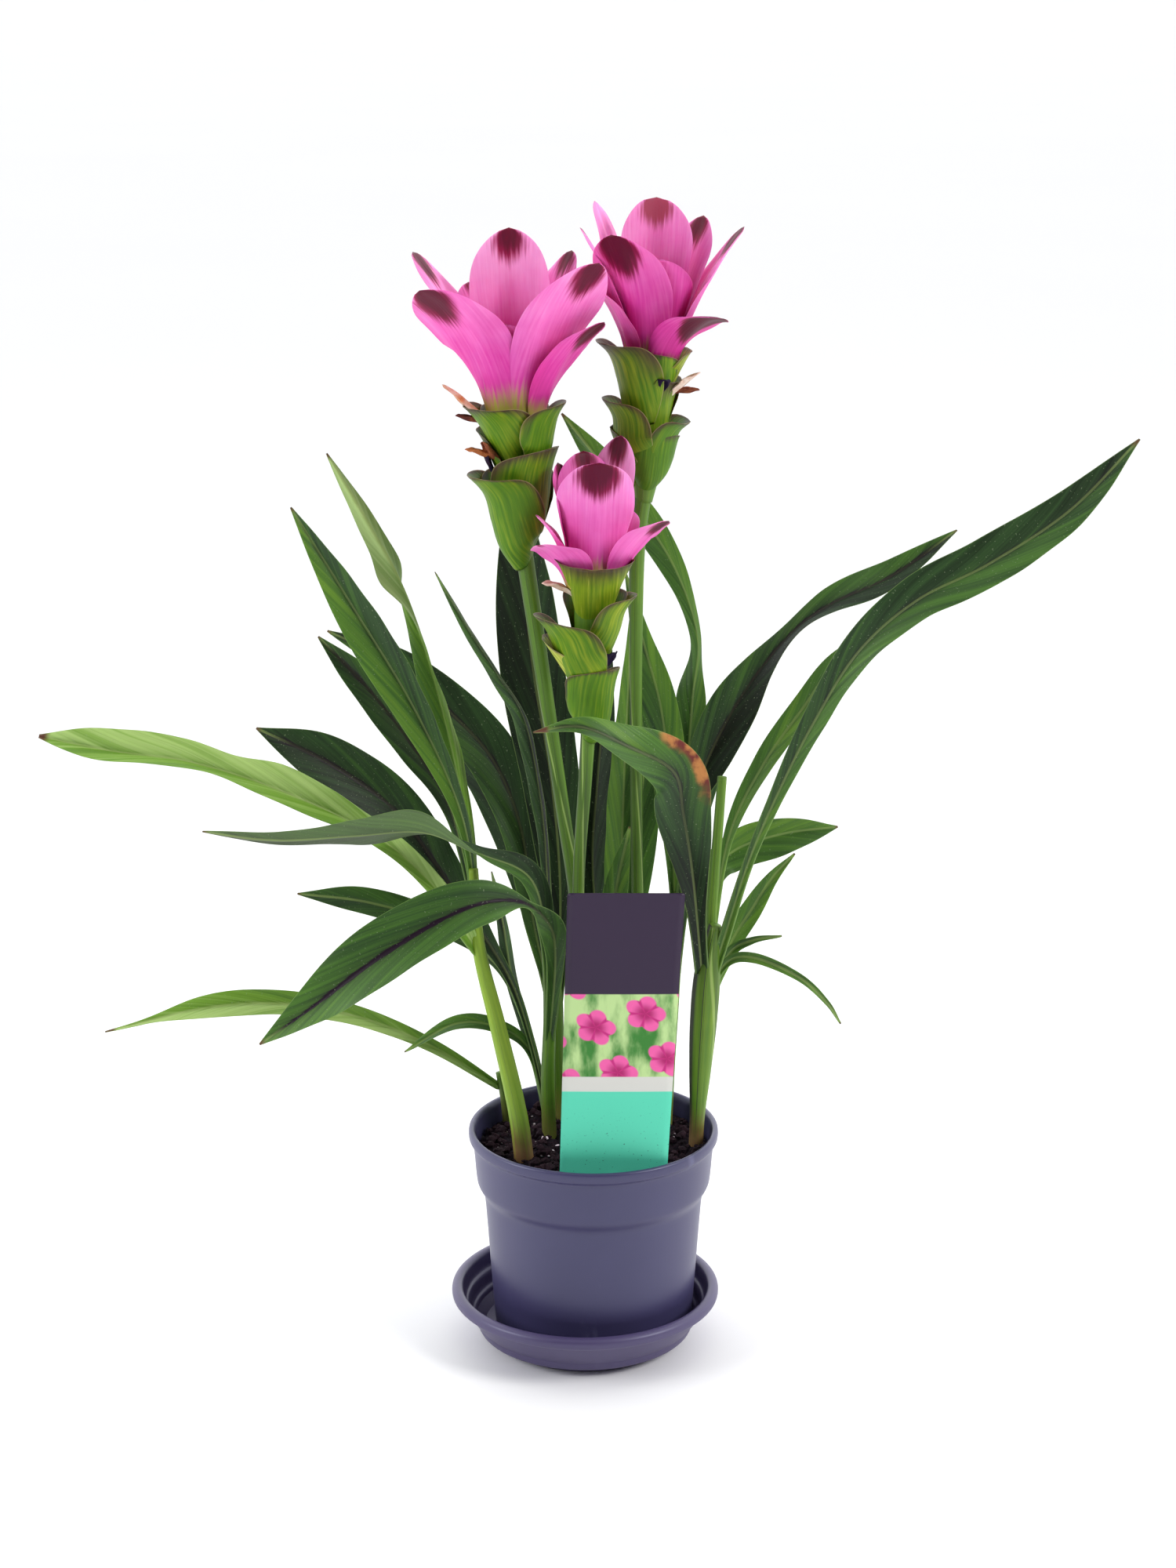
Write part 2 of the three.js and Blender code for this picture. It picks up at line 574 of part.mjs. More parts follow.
// Flower heads. Green bracts stand round the upper stem like pouches, and pink ones crown it.
// bearing is where a bract stands, in degrees from +X towards +Y, and from its height above the foot.
// leans are its angles from upright at its base and tip.
const HEADS = {
  left: {
    foot: [-28, 0, 384], top: [-35, 0, 533], coreRadii: [4, 8, 9, 8.6], pinkFrom: 66,
    stem: {
      path: [
        [2, 19, STEM_FOOT], [-2, 2, 161], [-4, 4, 216], [-10, 4, 262], [-19, 2, 327],
        [-28, 0, 390],
      ],
      radii: [3, 3.2, 3.2, 3.4, 4],
    },
    green: [
      { bearing: 205, height: 3, length: 41, width: 34, leans: [8, 50] },
      { bearing: 95, height: 8, length: 38, width: 30, leans: [8, 40] },
      { bearing: -22, height: 18, length: 38, width: 38, leans: [8, 40] },
      { bearing: 130, height: 28, length: 36, width: 28, leans: [8, 40] },
      { bearing: 218, height: 36, length: 38, width: 32, leans: [8, 40] },
      { bearing: -12, height: 40, length: 36, width: 28, leans: [8, 46] },
      { bearing: 288, height: 44, length: 26, width: 24, leans: [4, 14] },
      { bearing: 190, height: 60, length: 28, width: 9, leans: [14, 46] },
    ],
    pink: [
      { bearing: 85, height: 72, length: 77, width: 36, leans: [2, 5], blunt: true },
      { bearing: 165, height: 68, length: 80, width: 27, leans: [18, 41] },
      { bearing: 40, height: 68, length: 77, width: 28, leans: [12, 36] },
      { bearing: 125, height: 68, length: 62, width: 28, leans: [16, 40] },
      { bearing: 212, height: 68, length: 70, width: 39, leans: [22, 58], turn: -32 },
      { bearing: -24, height: 68, length: 80, width: 34, leans: [20, 44], turn: 32 },
      { bearing: -10, height: 68, length: 56, width: 26, leans: [30, 56], turn: 30 },
      { bearing: 75, height: 68, length: 46, width: 26, leans: [26, 62] },
    ],
  },
  right: {
    foot: [27, 20, 408], top: [34, 20, 545], coreRadii: [4, 8, 8.6, 8.4], pinkFrom: 62,
    stem: {
      path: [
        [29, 23, STEM_FOOT], [27, 20, 155], [25, 22, 219], [24, 22, 300], [24, 20, 381],
        [27, 20, 414],
      ],
      radii: [2.8, 2.8, 2.8, 3, 4],
    },
    green: [
      { bearing: -50, height: 0, length: 38, width: 32, leans: [4, 18] },
      { bearing: 150, height: 2, length: 34, width: 28, leans: [8, 36] },
      { bearing: -4, height: 7, length: 33, width: 26, leans: [8, 42] },
      { bearing: 197, height: 17, length: 36, width: 28, leans: [8, 44] },
      { bearing: 90, height: 26, length: 34, width: 28, leans: [8, 40] },
      { bearing: 278, height: 28, length: 32, width: 29, leans: [2, 10] },
      { bearing: 208, height: 44, length: 36, width: 24, leans: [12, 58] },
      { bearing: 30, height: 44, length: 28, width: 24, leans: [8, 40] },
    ],
    pink: [
      { bearing: 100, height: 70, length: 67, width: 38, leans: [1, 3], blunt: true },
      { bearing: 150, height: 66, length: 74, width: 19, leans: [12, 30] },
      { bearing: 182, height: 64, length: 67, width: 20, leans: [16, 38] },
      { bearing: 45, height: 66, length: 66, width: 26, leans: [10, 28] },
      { bearing: 222, height: 64, length: 63, width: 32, leans: [10, 38], turn: -25 },
      { bearing: 8, height: 64, length: 69, width: 24, leans: [18, 38] },
      { bearing: -36, height: 64, length: 39, width: 28, leans: [18, 90], turn: 15 },
      { bearing: 195, height: 64, length: 42, width: 20, leans: [22, 46] },
      { bearing: 100, height: 64, length: 46, width: 28, leans: [20, 56] },
    ],
  },
  low: {
    foot: [2, -20, 312], top: [6, -20, 442], coreRadii: [3.4, 6.5, 8.2, 8.4], pinkFrom: 66,
    stem: {
      path: [[2, 9, STEM_FOOT], [-2, -10, 166], [-3, -14, 233], [0, -18, 284], [2, -20, 318]],
      radii: [2.7, 2.7, 2.8, 3.4],
    },
    green: [
      { bearing: -48, height: 0, length: 30, width: 26, leans: [3, 16] },
      { bearing: 110, height: 4, length: 34, width: 26, leans: [8, 38] },
      { bearing: 206, height: 19, length: 38, width: 30, leans: [10, 52] },
      { bearing: -14, height: 28, length: 35, width: 26, leans: [8, 42] },
      { bearing: 188, height: 41, length: 34, width: 16, leans: [14, 56] },
      { bearing: 80, height: 36, length: 34, width: 28, leans: [8, 40] },
      { bearing: 268, height: 43, length: 34, width: 36, leans: [2, 18] },
    ],
    pink: [
      { bearing: 60, height: 70, length: 62, width: 24, leans: [6, 18] },
      { bearing: 115, height: 68, length: 56, width: 34, leans: [4, 12] },
      { bearing: 152, height: 68, length: 53, width: 22, leans: [10, 16] },
      { bearing: 275, height: 68, length: 54, width: 42, leans: [8, -6], blunt: true },
      { bearing: 186, height: 68, length: 36, width: 20, leans: [24, 46] },
      { bearing: 214, height: 68, length: 31, width: 27, leans: [38, 72], turn: -20 },
      { bearing: -14, height: 68, length: 38, width: 24, leans: [30, 60], turn: 20 },
      { bearing: 70, height: 68, length: 38, width: 26, leans: [26, 58] },
    ],
  },
};

// The shares of a bract's greatest width, from its base to its tip.
const GREEN_SHARES = [0.4, 0.8, 1, 0.98, 0.75, 0.06];
const PINK_SHARES = [0.3, 0.66, 0.95, 1, 0.94, 0.66, 0.06];
const BLUNT_SHARES = [0.3, 0.7, 0.95, 1, 1, 0.86, 0.2];

// The point on a head's axis at a height above its foot.
function axisAt({ foot, top }, height) {
  return point(foot).lerp(point(top), height / (top[2] - foot[2]));
}

// A bract's blade: its lean changes evenly along it, and its sides bend round the head.
function bract(head, spec, settings) {
  const { bearing, height, length, width, leans, turn = 0 } = spec;
  const { shares, startRadius, cup, thick, steps = 4, swell = 0 } = settings;
  const outward = new THREE.Vector3(Math.cos(radians(bearing)), Math.sin(radians(bearing)), 0);
  const strides = 4;
  let [reach, rise] = [startRadius, height];
  const path = [];
  for (let i = 0; i <= strides; i += 1) {
    path.push(axisAt(head, rise).addScaledVector(outward, reach).toArray());
    const lean = radians(THREE.MathUtils.lerp(leans[0], leans[1], (i + 0.5) / strides));
    reach += (length / strides) * Math.sin(lean);
    rise += (length / strides) * Math.cos(lean);
  }
  return blade({
    path, widths: shares.map((share) => share * width), turns: [0, turn, turn], facing: outward.toArray(),
    cup, fold: 0, stalk: 0, thick, swell, steps, columns: width > 32 ? 4 : 3,
  });
}

// The green part of a head: the flower stem, its thickened top and the green bracts.
function greenHead(head, swell) {
  const axis = [0, 0.33, 0.67, 1].map((share) => axisAt(head, share * head.pinkFrom).toArray());
  const settings = { shares: GREEN_SHARES, startRadius: 6, cup: -62, thick: BRACT_THICK, swell };
  return largestBody(joined([
    stem({ ...head.stem, swell }),
    stem({ path: axis, radii: head.coreRadii, steps: 4, swell }),
    ...head.green.map((one) => bract(head, one, settings)),
  ]));
}

// The pink crown: it stands on the green part, and its core is hidden among the petals.
function pinkHead(head) {
  const heights = [head.pinkFrom + GAP, head.pinkFrom + 12, head.pinkFrom + 24];
  const core = stem({
    path: heights.map((height) => axisAt(head, height).toArray()), radii: [8, 6, 3], steps: 3,
  });
  const petals = head.pink.map((one) => {
    const shares = one.blunt ? BLUNT_SHARES : PINK_SHARES;
    const steps = one.blunt ? 6 : 4;
    return bract(head, one, { shares, startRadius: 6.5, cup: -38, thick: PETAL_THICK, steps });
  });
  return largestBody(joined([core, ...petals]).subtract(greenHead(head, GAP)));
}

for (const [name, head] of Object.entries(HEADS)) {
  plant.add(meshFrom("flower_stem_" + name, greenHead(head, 0), spikeGreen));
  plant.add(meshFrom("flower_" + name, pinkHead(head), pink));
}

// Label: the card and its pointed stake are one flat sheet. A margin gives the slot it stands in.
function labelSolid(margin) {
  const rise = LABEL_TOP - LABEL_BOTTOM;
  const middleAt = (height) =>
    THREE.MathUtils.lerp(LABEL_BOTTOM_X, LABEL_TOP_X, (height - LABEL_BOTTOM) / rise);
  const [bottomHalf, topHalf, stakeHalf] = [LABEL_BOTTOM_WIDTH / 2, LABEL_TOP_WIDTH / 2, STAKE_WIDTH / 2];
  const right = [
    [STAKE_TIP / 2, STAKE_END - margin], [stakeHalf, STAKE_END + STAKE_POINT], [stakeHalf, LABEL_BOTTOM],
    [bottomHalf - LABEL_CORNER, LABEL_BOTTOM + 0.1], [bottomHalf, LABEL_BOTTOM + LABEL_CORNER],
    [topHalf, LABEL_TOP - LABEL_CORNER], [topHalf - LABEL_CORNER, LABEL_TOP],
  ];
  const left = right.map(([half, height]) => [-half, height]).reverse();
  const outline = [...right, ...left].map(([half, height]) =>
    new THREE.Vector2(middleAt(height) + half + Math.sign(half) * margin, height));
  const depth = LABEL_THICK + 2 * margin;
  const sheet = new THREE.ExtrudeGeometry(new THREE.Shape(outline), { depth, bevelEnabled: false });
  return solidFrom(sheet.rotateX(Math.PI / 2).translate(0, LABEL_Y + depth / 2, 0));
}
plant.add(meshFrom("label", labelSolid(0), card));

// The lumps of the soil's top: two crossing ripples and a finer one, as a share of the lump height.
const lumpAt = (x, y) =>
  Math.sin(x * 0.31 + y * 0.12) * Math.cos(y * 0.27 - x * 0.08) + 0.4 * Math.sin(y * 0.53);

// The hole that a stem stands in: the stem's own shape, a little larger all round.
function stemHole({ path: [[x, y, foot], ...rest], ...others }) {
  return stem({ ...others, path: [[x, y, foot - GAP], ...rest], swell: HOLE_GAP });
}

// Soil: a plug of peat with a hole for each stem and a slot for the label's stake.
function soilSolid() {
  const walls = potInside.filter(([, height]) => height < SOIL_TOP - SOIL_LUMP).reverse();
  const sides = walls.map(([radius, height]) => [radius - GAP, height + GAP]);
  const top = SOIL_RINGS.map((radius) => [radius, SOIL_TOP]);
  const outline = [[0, sides[0][1]], ...sides, [SOIL_RADIUS, SOIL_TOP - 0.6], ...top, [0, SOIL_TOP]];
  const plug = lathe(outline);
  const places = plug.getAttribute("position");
  for (let i = 0; i < places.count; i += 1) {
    const [x, y, z] = [places.getX(i), places.getY(i), places.getZ(i)];
    if (z > SOIL_TOP - 0.1) places.setZ(i, z + SOIL_LUMP * lumpAt(x, y));
  }
  const planted = [
    ...Object.values(SHOOTS).flatMap(({ stems }) => stems),
    ...Object.values(HEADS).map((head) => head.stem),
  ].filter(({ path }) => path[0][2] === STEM_FOOT);
  const cuts = joined([...planted.map(stemHole), labelSolid(HOLE_GAP)]);
  return solidFrom(plug).translate([POT_X, 0, 0]).subtract(cuts);
}
plant.add(meshFrom("soil", soilSolid(), peat));

export default plant;
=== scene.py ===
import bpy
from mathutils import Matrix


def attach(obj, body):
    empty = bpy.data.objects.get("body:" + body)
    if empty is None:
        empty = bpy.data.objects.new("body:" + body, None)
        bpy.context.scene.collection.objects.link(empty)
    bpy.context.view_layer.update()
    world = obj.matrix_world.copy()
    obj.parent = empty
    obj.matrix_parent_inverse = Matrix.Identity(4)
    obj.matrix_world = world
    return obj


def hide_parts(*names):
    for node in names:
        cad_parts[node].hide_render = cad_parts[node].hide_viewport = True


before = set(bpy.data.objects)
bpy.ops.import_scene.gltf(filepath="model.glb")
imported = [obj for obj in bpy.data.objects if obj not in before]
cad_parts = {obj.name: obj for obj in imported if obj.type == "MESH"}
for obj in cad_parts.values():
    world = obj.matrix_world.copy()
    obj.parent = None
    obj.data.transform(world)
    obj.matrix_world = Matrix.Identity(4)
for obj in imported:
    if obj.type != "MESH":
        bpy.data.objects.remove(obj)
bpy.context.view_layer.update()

from types import SimpleNamespace

import bpy
import numpy as np

# A curcuma in flower, in its nursery pot on a saucer, with a plant label pushed into the soil.

# Camera
# It stands 1.3 m in front of the plant, a little above the flowers, and looks down on the pot.
# Its lens sees the photograph's frame of 1500 by 2000 pixels at a focal length of 3700 pixels.
MM = 0.001
camera_data = bpy.data.cameras.new("camera")
camera = bpy.data.objects.new("camera", camera_data)
bpy.context.scene.collection.objects.link(camera)
bpy.context.scene.camera = camera
photo_height = 2000
focal_pixels = 3700
look_down = 15.7
camera_data.sensor_width = 36
camera_data.lens = camera_data.sensor_width * focal_pixels / photo_height
camera_data.clip_end = 500
camera.location = (1.4 * MM, -1300 * MM, 644 * MM)
camera.rotation_euler = (np.radians(90 - look_down), 0, 0)

# Floor and light
# A pale floor that runs far past the frame, a surround that is white behind and at the sides and
# dim in front, so that edges are bright, and two large soft lamps, high on the right and left.


class Value:
    """A number that varies over a surface. Arithmetic on it adds Math nodes."""

    def __init__(self, finish, link):
        self.finish, self.link = finish, link

    def math(self, operation, first, second):
        return self.finish.node("ShaderNodeMath", {"operation": operation}, {0: first, 1: second})

    def __add__(self, other):
        return self.math("ADD", self, other)

    def __sub__(self, other):
        return self.math("SUBTRACT", self, other)

    def __rsub__(self, other):
        return self.math("SUBTRACT", other, self)

    def __mul__(self, other):
        return self.math("MULTIPLY", self, other)

    def __truediv__(self, other):
        return self.math("DIVIDE", self, other)

    def __pow__(self, other):
        return self.math("POWER", self, other)

    def __abs__(self):
        return self.math("ABSOLUTE", self, 0)

    def sine(self):
        return self.math("SINE", self, 0)

    __radd__ = __add__
    __rmul__ = __mul__


def colour(red, green, blue):
    """A colour given as it looks on a screen, 0 to 255, as the linear light that a shader takes."""
    screen = np.array([red, green, blue]) / 255
    light = np.where(screen > 0.04045, ((screen + 0.055) / 1.055) ** 2.4, screen / 12.92)
    return (*light.tolist(), 1.0)


class Nodes:
    """A node tree that is added to node by node. What varies is a Value, and the rest are numbers."""

    def __init__(self, tree):
        self.tree = tree

    def give(self, socket, amount):
        """Links a Value to a socket, or sets a plain number or colour on it."""
        if isinstance(amount, Value):
            self.tree.links.new(amount.link, socket)
        else:
            socket.default_value = amount

    def node(self, kind, settings=None, inputs=None, output=0):
        """Adds a node: its settings first, then the numbers or links of its sockets."""
        made = self.tree.nodes.new(kind)
        for name, setting in (settings or {}).items():
            if name == "stops":
                stops = made.color_ramp.elements
                while len(stops) < len(setting):
                    stops.new(0.5)
                for stop, (place, *shade) in zip(stops, setting):
                    stop.position, stop.color = place, colour(*shade)
            else:
                setattr(made, name, setting)
        for name, amount in (inputs or {}).items():
            self.give(made.inputs[name], amount)
        return Value(self, made.outputs[output])

    def smooth(self, amount, low, high):
        """0 below low and 1 above high, with a soft step between."""
        settings = {"interpolation_type": "SMOOTHSTEP"}
        return self.node("ShaderNodeMapRange", settings, {0: amount, 1: low, 2: high})

    def mixed(self, share, first, second):
        """The first colour, going over to the second as the share goes from 0 to 1."""
        settings = {"data_type": "RGBA", "clamp_factor": True}
        return self.node("ShaderNodeMix", settings, {0: share, 6: first, 7: second}, output=2)


class Finish(Nodes):
    """A surface finish: one Principled shader, whose constants are set on its own sockets.

    Its tone is the colour so far, and each coat goes over it by a share of 0 to 1.
    """

    def __init__(self, name, **constants):
        self.material = bpy.data.materials.new(name)
        self.material.use_nodes = True
        super().__init__(self.material.node_tree)
        self.shader = self.tree.nodes["Principled BSDF"]
        self.tone = None
        for socket, amount in constants.items():
            self.shader.inputs[socket.replace("_", " ")].default_value = amount

    def marks(self, names):
        """The marks of those names, each a number that every point of the mesh carries."""
        return SimpleNamespace(**{
            name: self.node("ShaderNodeAttribute", {"attribute_name": name}, output=2)
            for name in names.split()
        })

    def vector(self, x, y, z=0.0):
        """A place for noise that is made of marks, so that its grain runs with the leaf or petal."""
        return self.node("ShaderNodeCombineXYZ", {}, {0: x, 1: y, 2: z})

    def noise(self, scale, detail=3, stretch=(1, 1, 1), place=None):
        """Soft noise of the given grain per metre, about 0.5, drawn out along the axes by stretch."""
        if place is None:
            place = self.node("ShaderNodeTexCoord", output=3)
        spread = self.node("ShaderNodeMapping", {}, {"Vector": place, "Scale": stretch})
        return self.node("ShaderNodeTexNoise", {}, {"Vector": spread, "Scale": scale, "Detail": detail})

    def ramp(self, amount, *stops):
        """The colour that the amount falls on, between stops of (amount, red, green, blue)."""
        return self.node("ShaderNodeValToRGB", {"stops": stops}, {0: amount})

    def coat(self, share, shade):
        """Lays a colour over the tone by a share of 0 to 1."""
        self.tone = self.mixed(share, self.tone, shade)

    def bump(self, height, depth, strength=1.0):
        """Raises the surface by the height, 0 to 1, times a depth in millimetres."""
        inputs = {"Height": height, "Distance": depth * MM, "Strength": strength}
        self.give(self.shader.inputs["Normal"], self.node("ShaderNodeBump", {}, inputs))

    def paint(self, roughness=None):
        """The finished material, with the tone as its colour."""
        self.give(self.shader.inputs["Base Color"], self.tone)
        if roughness is not None:
            self.give(self.shader.inputs["Roughness"], roughness)
        return self.material


def mesh_piece(name, sheets, material, smooth=True):
    """One mesh object from sheets of four-sided faces.

    A sheet is (points in mm, faces, {attribute: one number a point}). Points are put one sheet after
    the other, and each sheet's faces count on from where the last one's points end.
    """
    starts = np.cumsum([0] + [len(points) for points, _, _ in sheets])
    points = np.concatenate([points for points, _, _ in sheets])
    faces = np.concatenate([faces + start for (_, faces, _), start in zip(sheets, starts)])
    mesh = bpy.data.meshes.new(name)
    mesh.vertices.add(len(points))
    mesh.vertices.foreach_set("co", (points * MM).astype(np.float32).ravel())
    mesh.loops.add(faces.size)
    mesh.loops.foreach_set("vertex_index", faces.astype(np.int32).ravel())
    mesh.polygons.add(len(faces))
    mesh.polygons.foreach_set("loop_start", np.arange(0, faces.size, 4, dtype=np.int32))
    mesh.polygons.foreach_set("use_smooth", np.full(len(faces), smooth))
    for key in sheets[0][2]:
        values = np.concatenate([marks[key] for _, _, marks in sheets])
        mesh.attributes.new(key, "FLOAT", "POINT").data.foreach_set("value", values.astype(np.float32))
    mesh.update(calc_edges=True)
    mesh.materials.append(material)
    made = bpy.data.objects.new(name, mesh)
    bpy.context.scene.collection.objects.link(made)
    return made


def lamp(name, place, aim, size, watts, tint):
    """A square lamp that faces the point it is aimed at."""
    data = bpy.data.lights.new(name, "AREA")
    data.shape, data.size, data.energy, data.color = "SQUARE", size, watts, tint
    made = bpy.data.objects.new(name, data)
    bpy.context.scene.collection.objects.link(made)
    made.location = place
    forward = np.array(aim) - np.array(place)
    made.rotation_euler = (
        np.arctan2(np.hypot(forward[0], forward[1]), -forward[2]), 0, np.arctan2(-forward[0], forward[1]),
    )


floor_finish = Finish("floor", Roughness=0.7)
floor_finish.tone = floor_finish.mixed(
    floor_finish.noise(0.8), colour(248, 248, 249), colour(251, 251, 252),
)
floor_reach = 120000
floor_corners = np.array([[-1, -1, 0], [1, -1, 0], [1, 1, 0], [-1, 1, 0]]) * floor_reach
floor = mesh_piece("floor", [(floor_corners, np.array([[0, 1, 2, 3]]), {})], floor_finish.paint())

surround = bpy.data.worlds.new("surround")
surround.use_nodes = True
sky = Nodes(surround.node_tree)
background = surround.node_tree.nodes["Background"]
ahead = sky.node("ShaderNodeSeparateXYZ", {}, {0: sky.node("ShaderNodeTexCoord")}, output=1)
sky.give(background.inputs["Color"], (0.98, 0.985, 1.0, 1))
sky.give(background.inputs["Strength"], sky.smooth(ahead, -0.9, 0.9) * 1.8 + 0.08)
bpy.context.scene.world = surround
lamp("lamp_right", (1.5, -0.7, 1.3), (0, 0, 0.25), 0.7, 22, (1.0, 0.99, 0.97))
lamp("lamp_left", (-1.5, -0.5, 0.9), (0, 0, 0.25), 0.8, 15, (0.98, 0.99, 1.0))
bpy.context.scene.view_settings.view_transform = "Standard"

# Saucer
# A dished plate, moulded in dusty purple plastic, with a rolled lip and a step inside its wall.
# It is turned round the Z axis as one wall of even thickness.


def lines(rows, columns, round_rows=False):
    """The faces of a grid of points, row by row. With round_rows each row closes on its start."""
    index = np.arange(rows * columns).reshape(rows, columns)
    if round_rows:
        index = np.hstack([index, index[:, :1]])
    corners = [index[:-1, :-1], index[:-1, 1:], index[1:, 1:], index[1:, :-1]]
    return np.stack(corners, -1).reshape(-1, 4)


def lid(first, count, flip=False):
    """Closes a ring of points with rungs, as a ladder lies across a round hatch."""
    k = np.arange(count // 2 - 1)
    rungs = np.stack([k, k + 1, count - 2 - k, count - 1 - k], -1) + first
    return rungs[:, ::-1] if flip else rungs


def ring_faces(rows, around):
    """The faces of a closed skin: rings of points row by row, with a lid on the first and last."""
    sides = lines(rows, around, round_rows=True)
    return np.vstack([sides, lid(0, around, flip=True), lid((rows - 1) * around, around)])


def rounded(profile, passes=2):
    """Cuts each inner corner of a profile at a quarter of its sides, again and again, as a fillet."""
    line = np.array(profile, float)
    for _ in range(passes):
        near, far = line[:-1] * 0.75 + line[1:] * 0.25, line[:-1] * 0.25 + line[1:] * 0.75
        inner = np.stack([near, far], 1).reshape(-1, 2)
        line = np.vstack([line[:1], inner[1:-1], line[-1:]])
    return line


def turned(profile, centre_x=0.0, around=128):
    """A closed shell: a profile of (radius, height) turned round the Z axis, its ends closed flat."""
    angle = np.linspace(0, 2 * np.pi, around, endpoint=False)
    radius, height = profile[:, :1], profile[:, 1:]
    points = np.stack([
        centre_x + radius * np.cos(angle), radius * np.sin(angle), height + 0 * angle,
    ], -1).reshape(-1, 3)
    return points, ring_faces(len(profile), around), {}


def moulded_plastic(name, shade, dark, scuff, roughness):
    """Injection-moulded plastic: cloudy tone, a fine matt grain, and a few pale scuffs."""
    made = Finish(name, Specular_IOR_Level=0.65, Specular_Tint=(0.82, 0.86, 1.0, 1))
    clouds = made.noise(14, 4)
    scuffs = made.smooth(made.noise(70, 6, (1, 1, 0.35)), 0.66, 0.8)
    made.tone = made.mixed(clouds, dark, shade)
    made.coat(scuffs * 0.3, scuff)
    made.bump(made.noise(1500, 2) * 0.6 + clouds * 0.4, 0.08, 0.5)
    return made.paint(roughness + clouds * 0.14 + scuffs * 0.1)


saucer_outside = [
    [6, 0], [44.2, 0], [45.2, 0.6], [53, 8], [59.5, 17], [61.8, 20.6], [64.2, 21], [65, 22],
    [65, 24.5], [64, 25.9], [62, 26.5],
]
saucer_inside = [
    [60.2, 25.9], [59.4, 24.3], [58.6, 18.5], [56.6, 17.6], [55.6, 11.5], [53.6, 10.6], [52.5, 5.4],
    [51.2, 4], [6, 4],
]
saucer = mesh_piece(
    "saucer_dish", [turned(rounded(saucer_outside + saucer_inside))],
    moulded_plastic("saucer_plastic", colour(84, 74, 112), colour(58, 48, 84), colour(132, 124, 154), 0.34),
)
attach(saucer, "root")
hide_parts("saucer")

# Pot
# A 12 cm nursery pot, blow-thin and slightly glossy, with a deeper band under its rolled rim and
# a low foot ring round its floor, which is closed: its drain holes are left out. It stands in the
# saucer, a little right of the middle.
pot_x = 4.0
pot_outside = [
    [8, 5.3], [30, 5.3], [31, 4.3], [46.5, 4.3], [47.7, 5.5], [49.4, 29], [51.6, 62], [52.5, 73.4],
    [53.3, 76.2], [55.6, 80], [56.4, 82.6], [57.8, 101.6], [59.2, 102.6], [60, 103.6], [60, 107],
    [59.3, 108],
]
pot_inside = [
    [57.6, 108], [56.6, 106], [56.3, 103.5], [54.9, 81.6], [51.3, 77], [47.9, 29], [46.3, 8],
    [45, 6.3], [8, 6.3],
]
pot = mesh_piece(
    "pot_shell", [turned(rounded(pot_outside + pot_inside), pot_x)],
    moulded_plastic("pot_plastic", colour(70, 66, 104), colour(52, 49, 82), colour(136, 138, 170), 0.3),
)
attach(pot, "root")
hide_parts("pot")

# Soil
# Dark moist peat, crumbly on top, with fibres, small lumps of bark and white grains of perlite.
# It fills the pot up to a finger's breadth under the rim.
soil_level = 98.0
chance = np.random.default_rng(41)


def ripples(x, y, wavelength, count=24):
    """A random hilly surface, between about -1 and 1: the mean of waves in all directions."""
    heading = chance.uniform(0, 2 * np.pi, count)
    shift = chance.uniform(0, 2 * np.pi, count)
    pace = 2 * np.pi / (wavelength * chance.uniform(0.7, 1.4, count))
    waves = np.cos(pace * (x[..., None] * np.cos(heading) + y[..., None] * np.sin(heading)) + shift)
    return waves.sum(-1) * 1.6 / count ** 0.5 / 1.4


soil_edge = np.array([[46, 6.6], [47.4, 29], [50.9, 76.7], [54.2, 82], [54.9, 96.5]])
soil_rings = np.linspace(54.6, 1.0, 84)
soil_angle = np.linspace(0, 2 * np.pi, 220, endpoint=False)
soil_radius = np.concatenate([[8], soil_edge[:, 0], soil_rings])[:, None]
soil_x, soil_y = soil_radius * np.cos(soil_angle), soil_radius * np.sin(soil_angle)
lumps = (
    1.0 * ripples(soil_x, soil_y, 26) + 0.8 * ripples(soil_x, soil_y, 9)
    + 0.55 * ripples(soil_x, soil_y, 4) + 0.3 * ripples(soil_x, soil_y, 2)
)
soil_height = np.concatenate([[6.6], soil_edge[:, 1], np.full(len(soil_rings), soil_level)])[:, None]
on_top = np.arange(len(soil_radius))[:, None] > len(soil_edge)
soil_height = np.where(on_top, soil_height + lumps, soil_height)
soil_points = np.stack([pot_x + soil_x, soil_y, soil_height], -1).reshape(-1, 3)
soil_faces = ring_faces(len(soil_radius), len(soil_angle))
peat = Finish("peat", Roughness=0.95, Specular_IOR_Level=0.25)
crumbs = peat.noise(420, 5)
peat.tone = peat.mixed(crumbs, colour(3, 0, 6), colour(24, 8, 24))
peat.coat(peat.smooth(peat.noise(260, 4, (1, 7, 3)), 0.56, 0.66) * 0.5, colour(58, 32, 40))
peat.bump(crumbs, 1.2)
soil = mesh_piece("soil_top", [(soil_points, soil_faces, {})], peat.paint())
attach(soil, "root")
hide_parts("soil")


def crumb_shape(rings=4, around=6):
    """A small ball of four-sided faces: rings of points between two flat ends."""
    down = np.linspace(0.35, np.pi - 0.35, rings)[:, None]
    turn = np.linspace(0, 2 * np.pi, around, endpoint=False)
    flat_x, flat_y = np.sin(down) * np.cos(turn), np.sin(down) * np.sin(turn)
    ball = np.stack([flat_x, flat_y, np.cos(down) + 0 * turn], -1)
    return ball.reshape(-1, 3), ring_faces(rings, around)[:, ::-1]


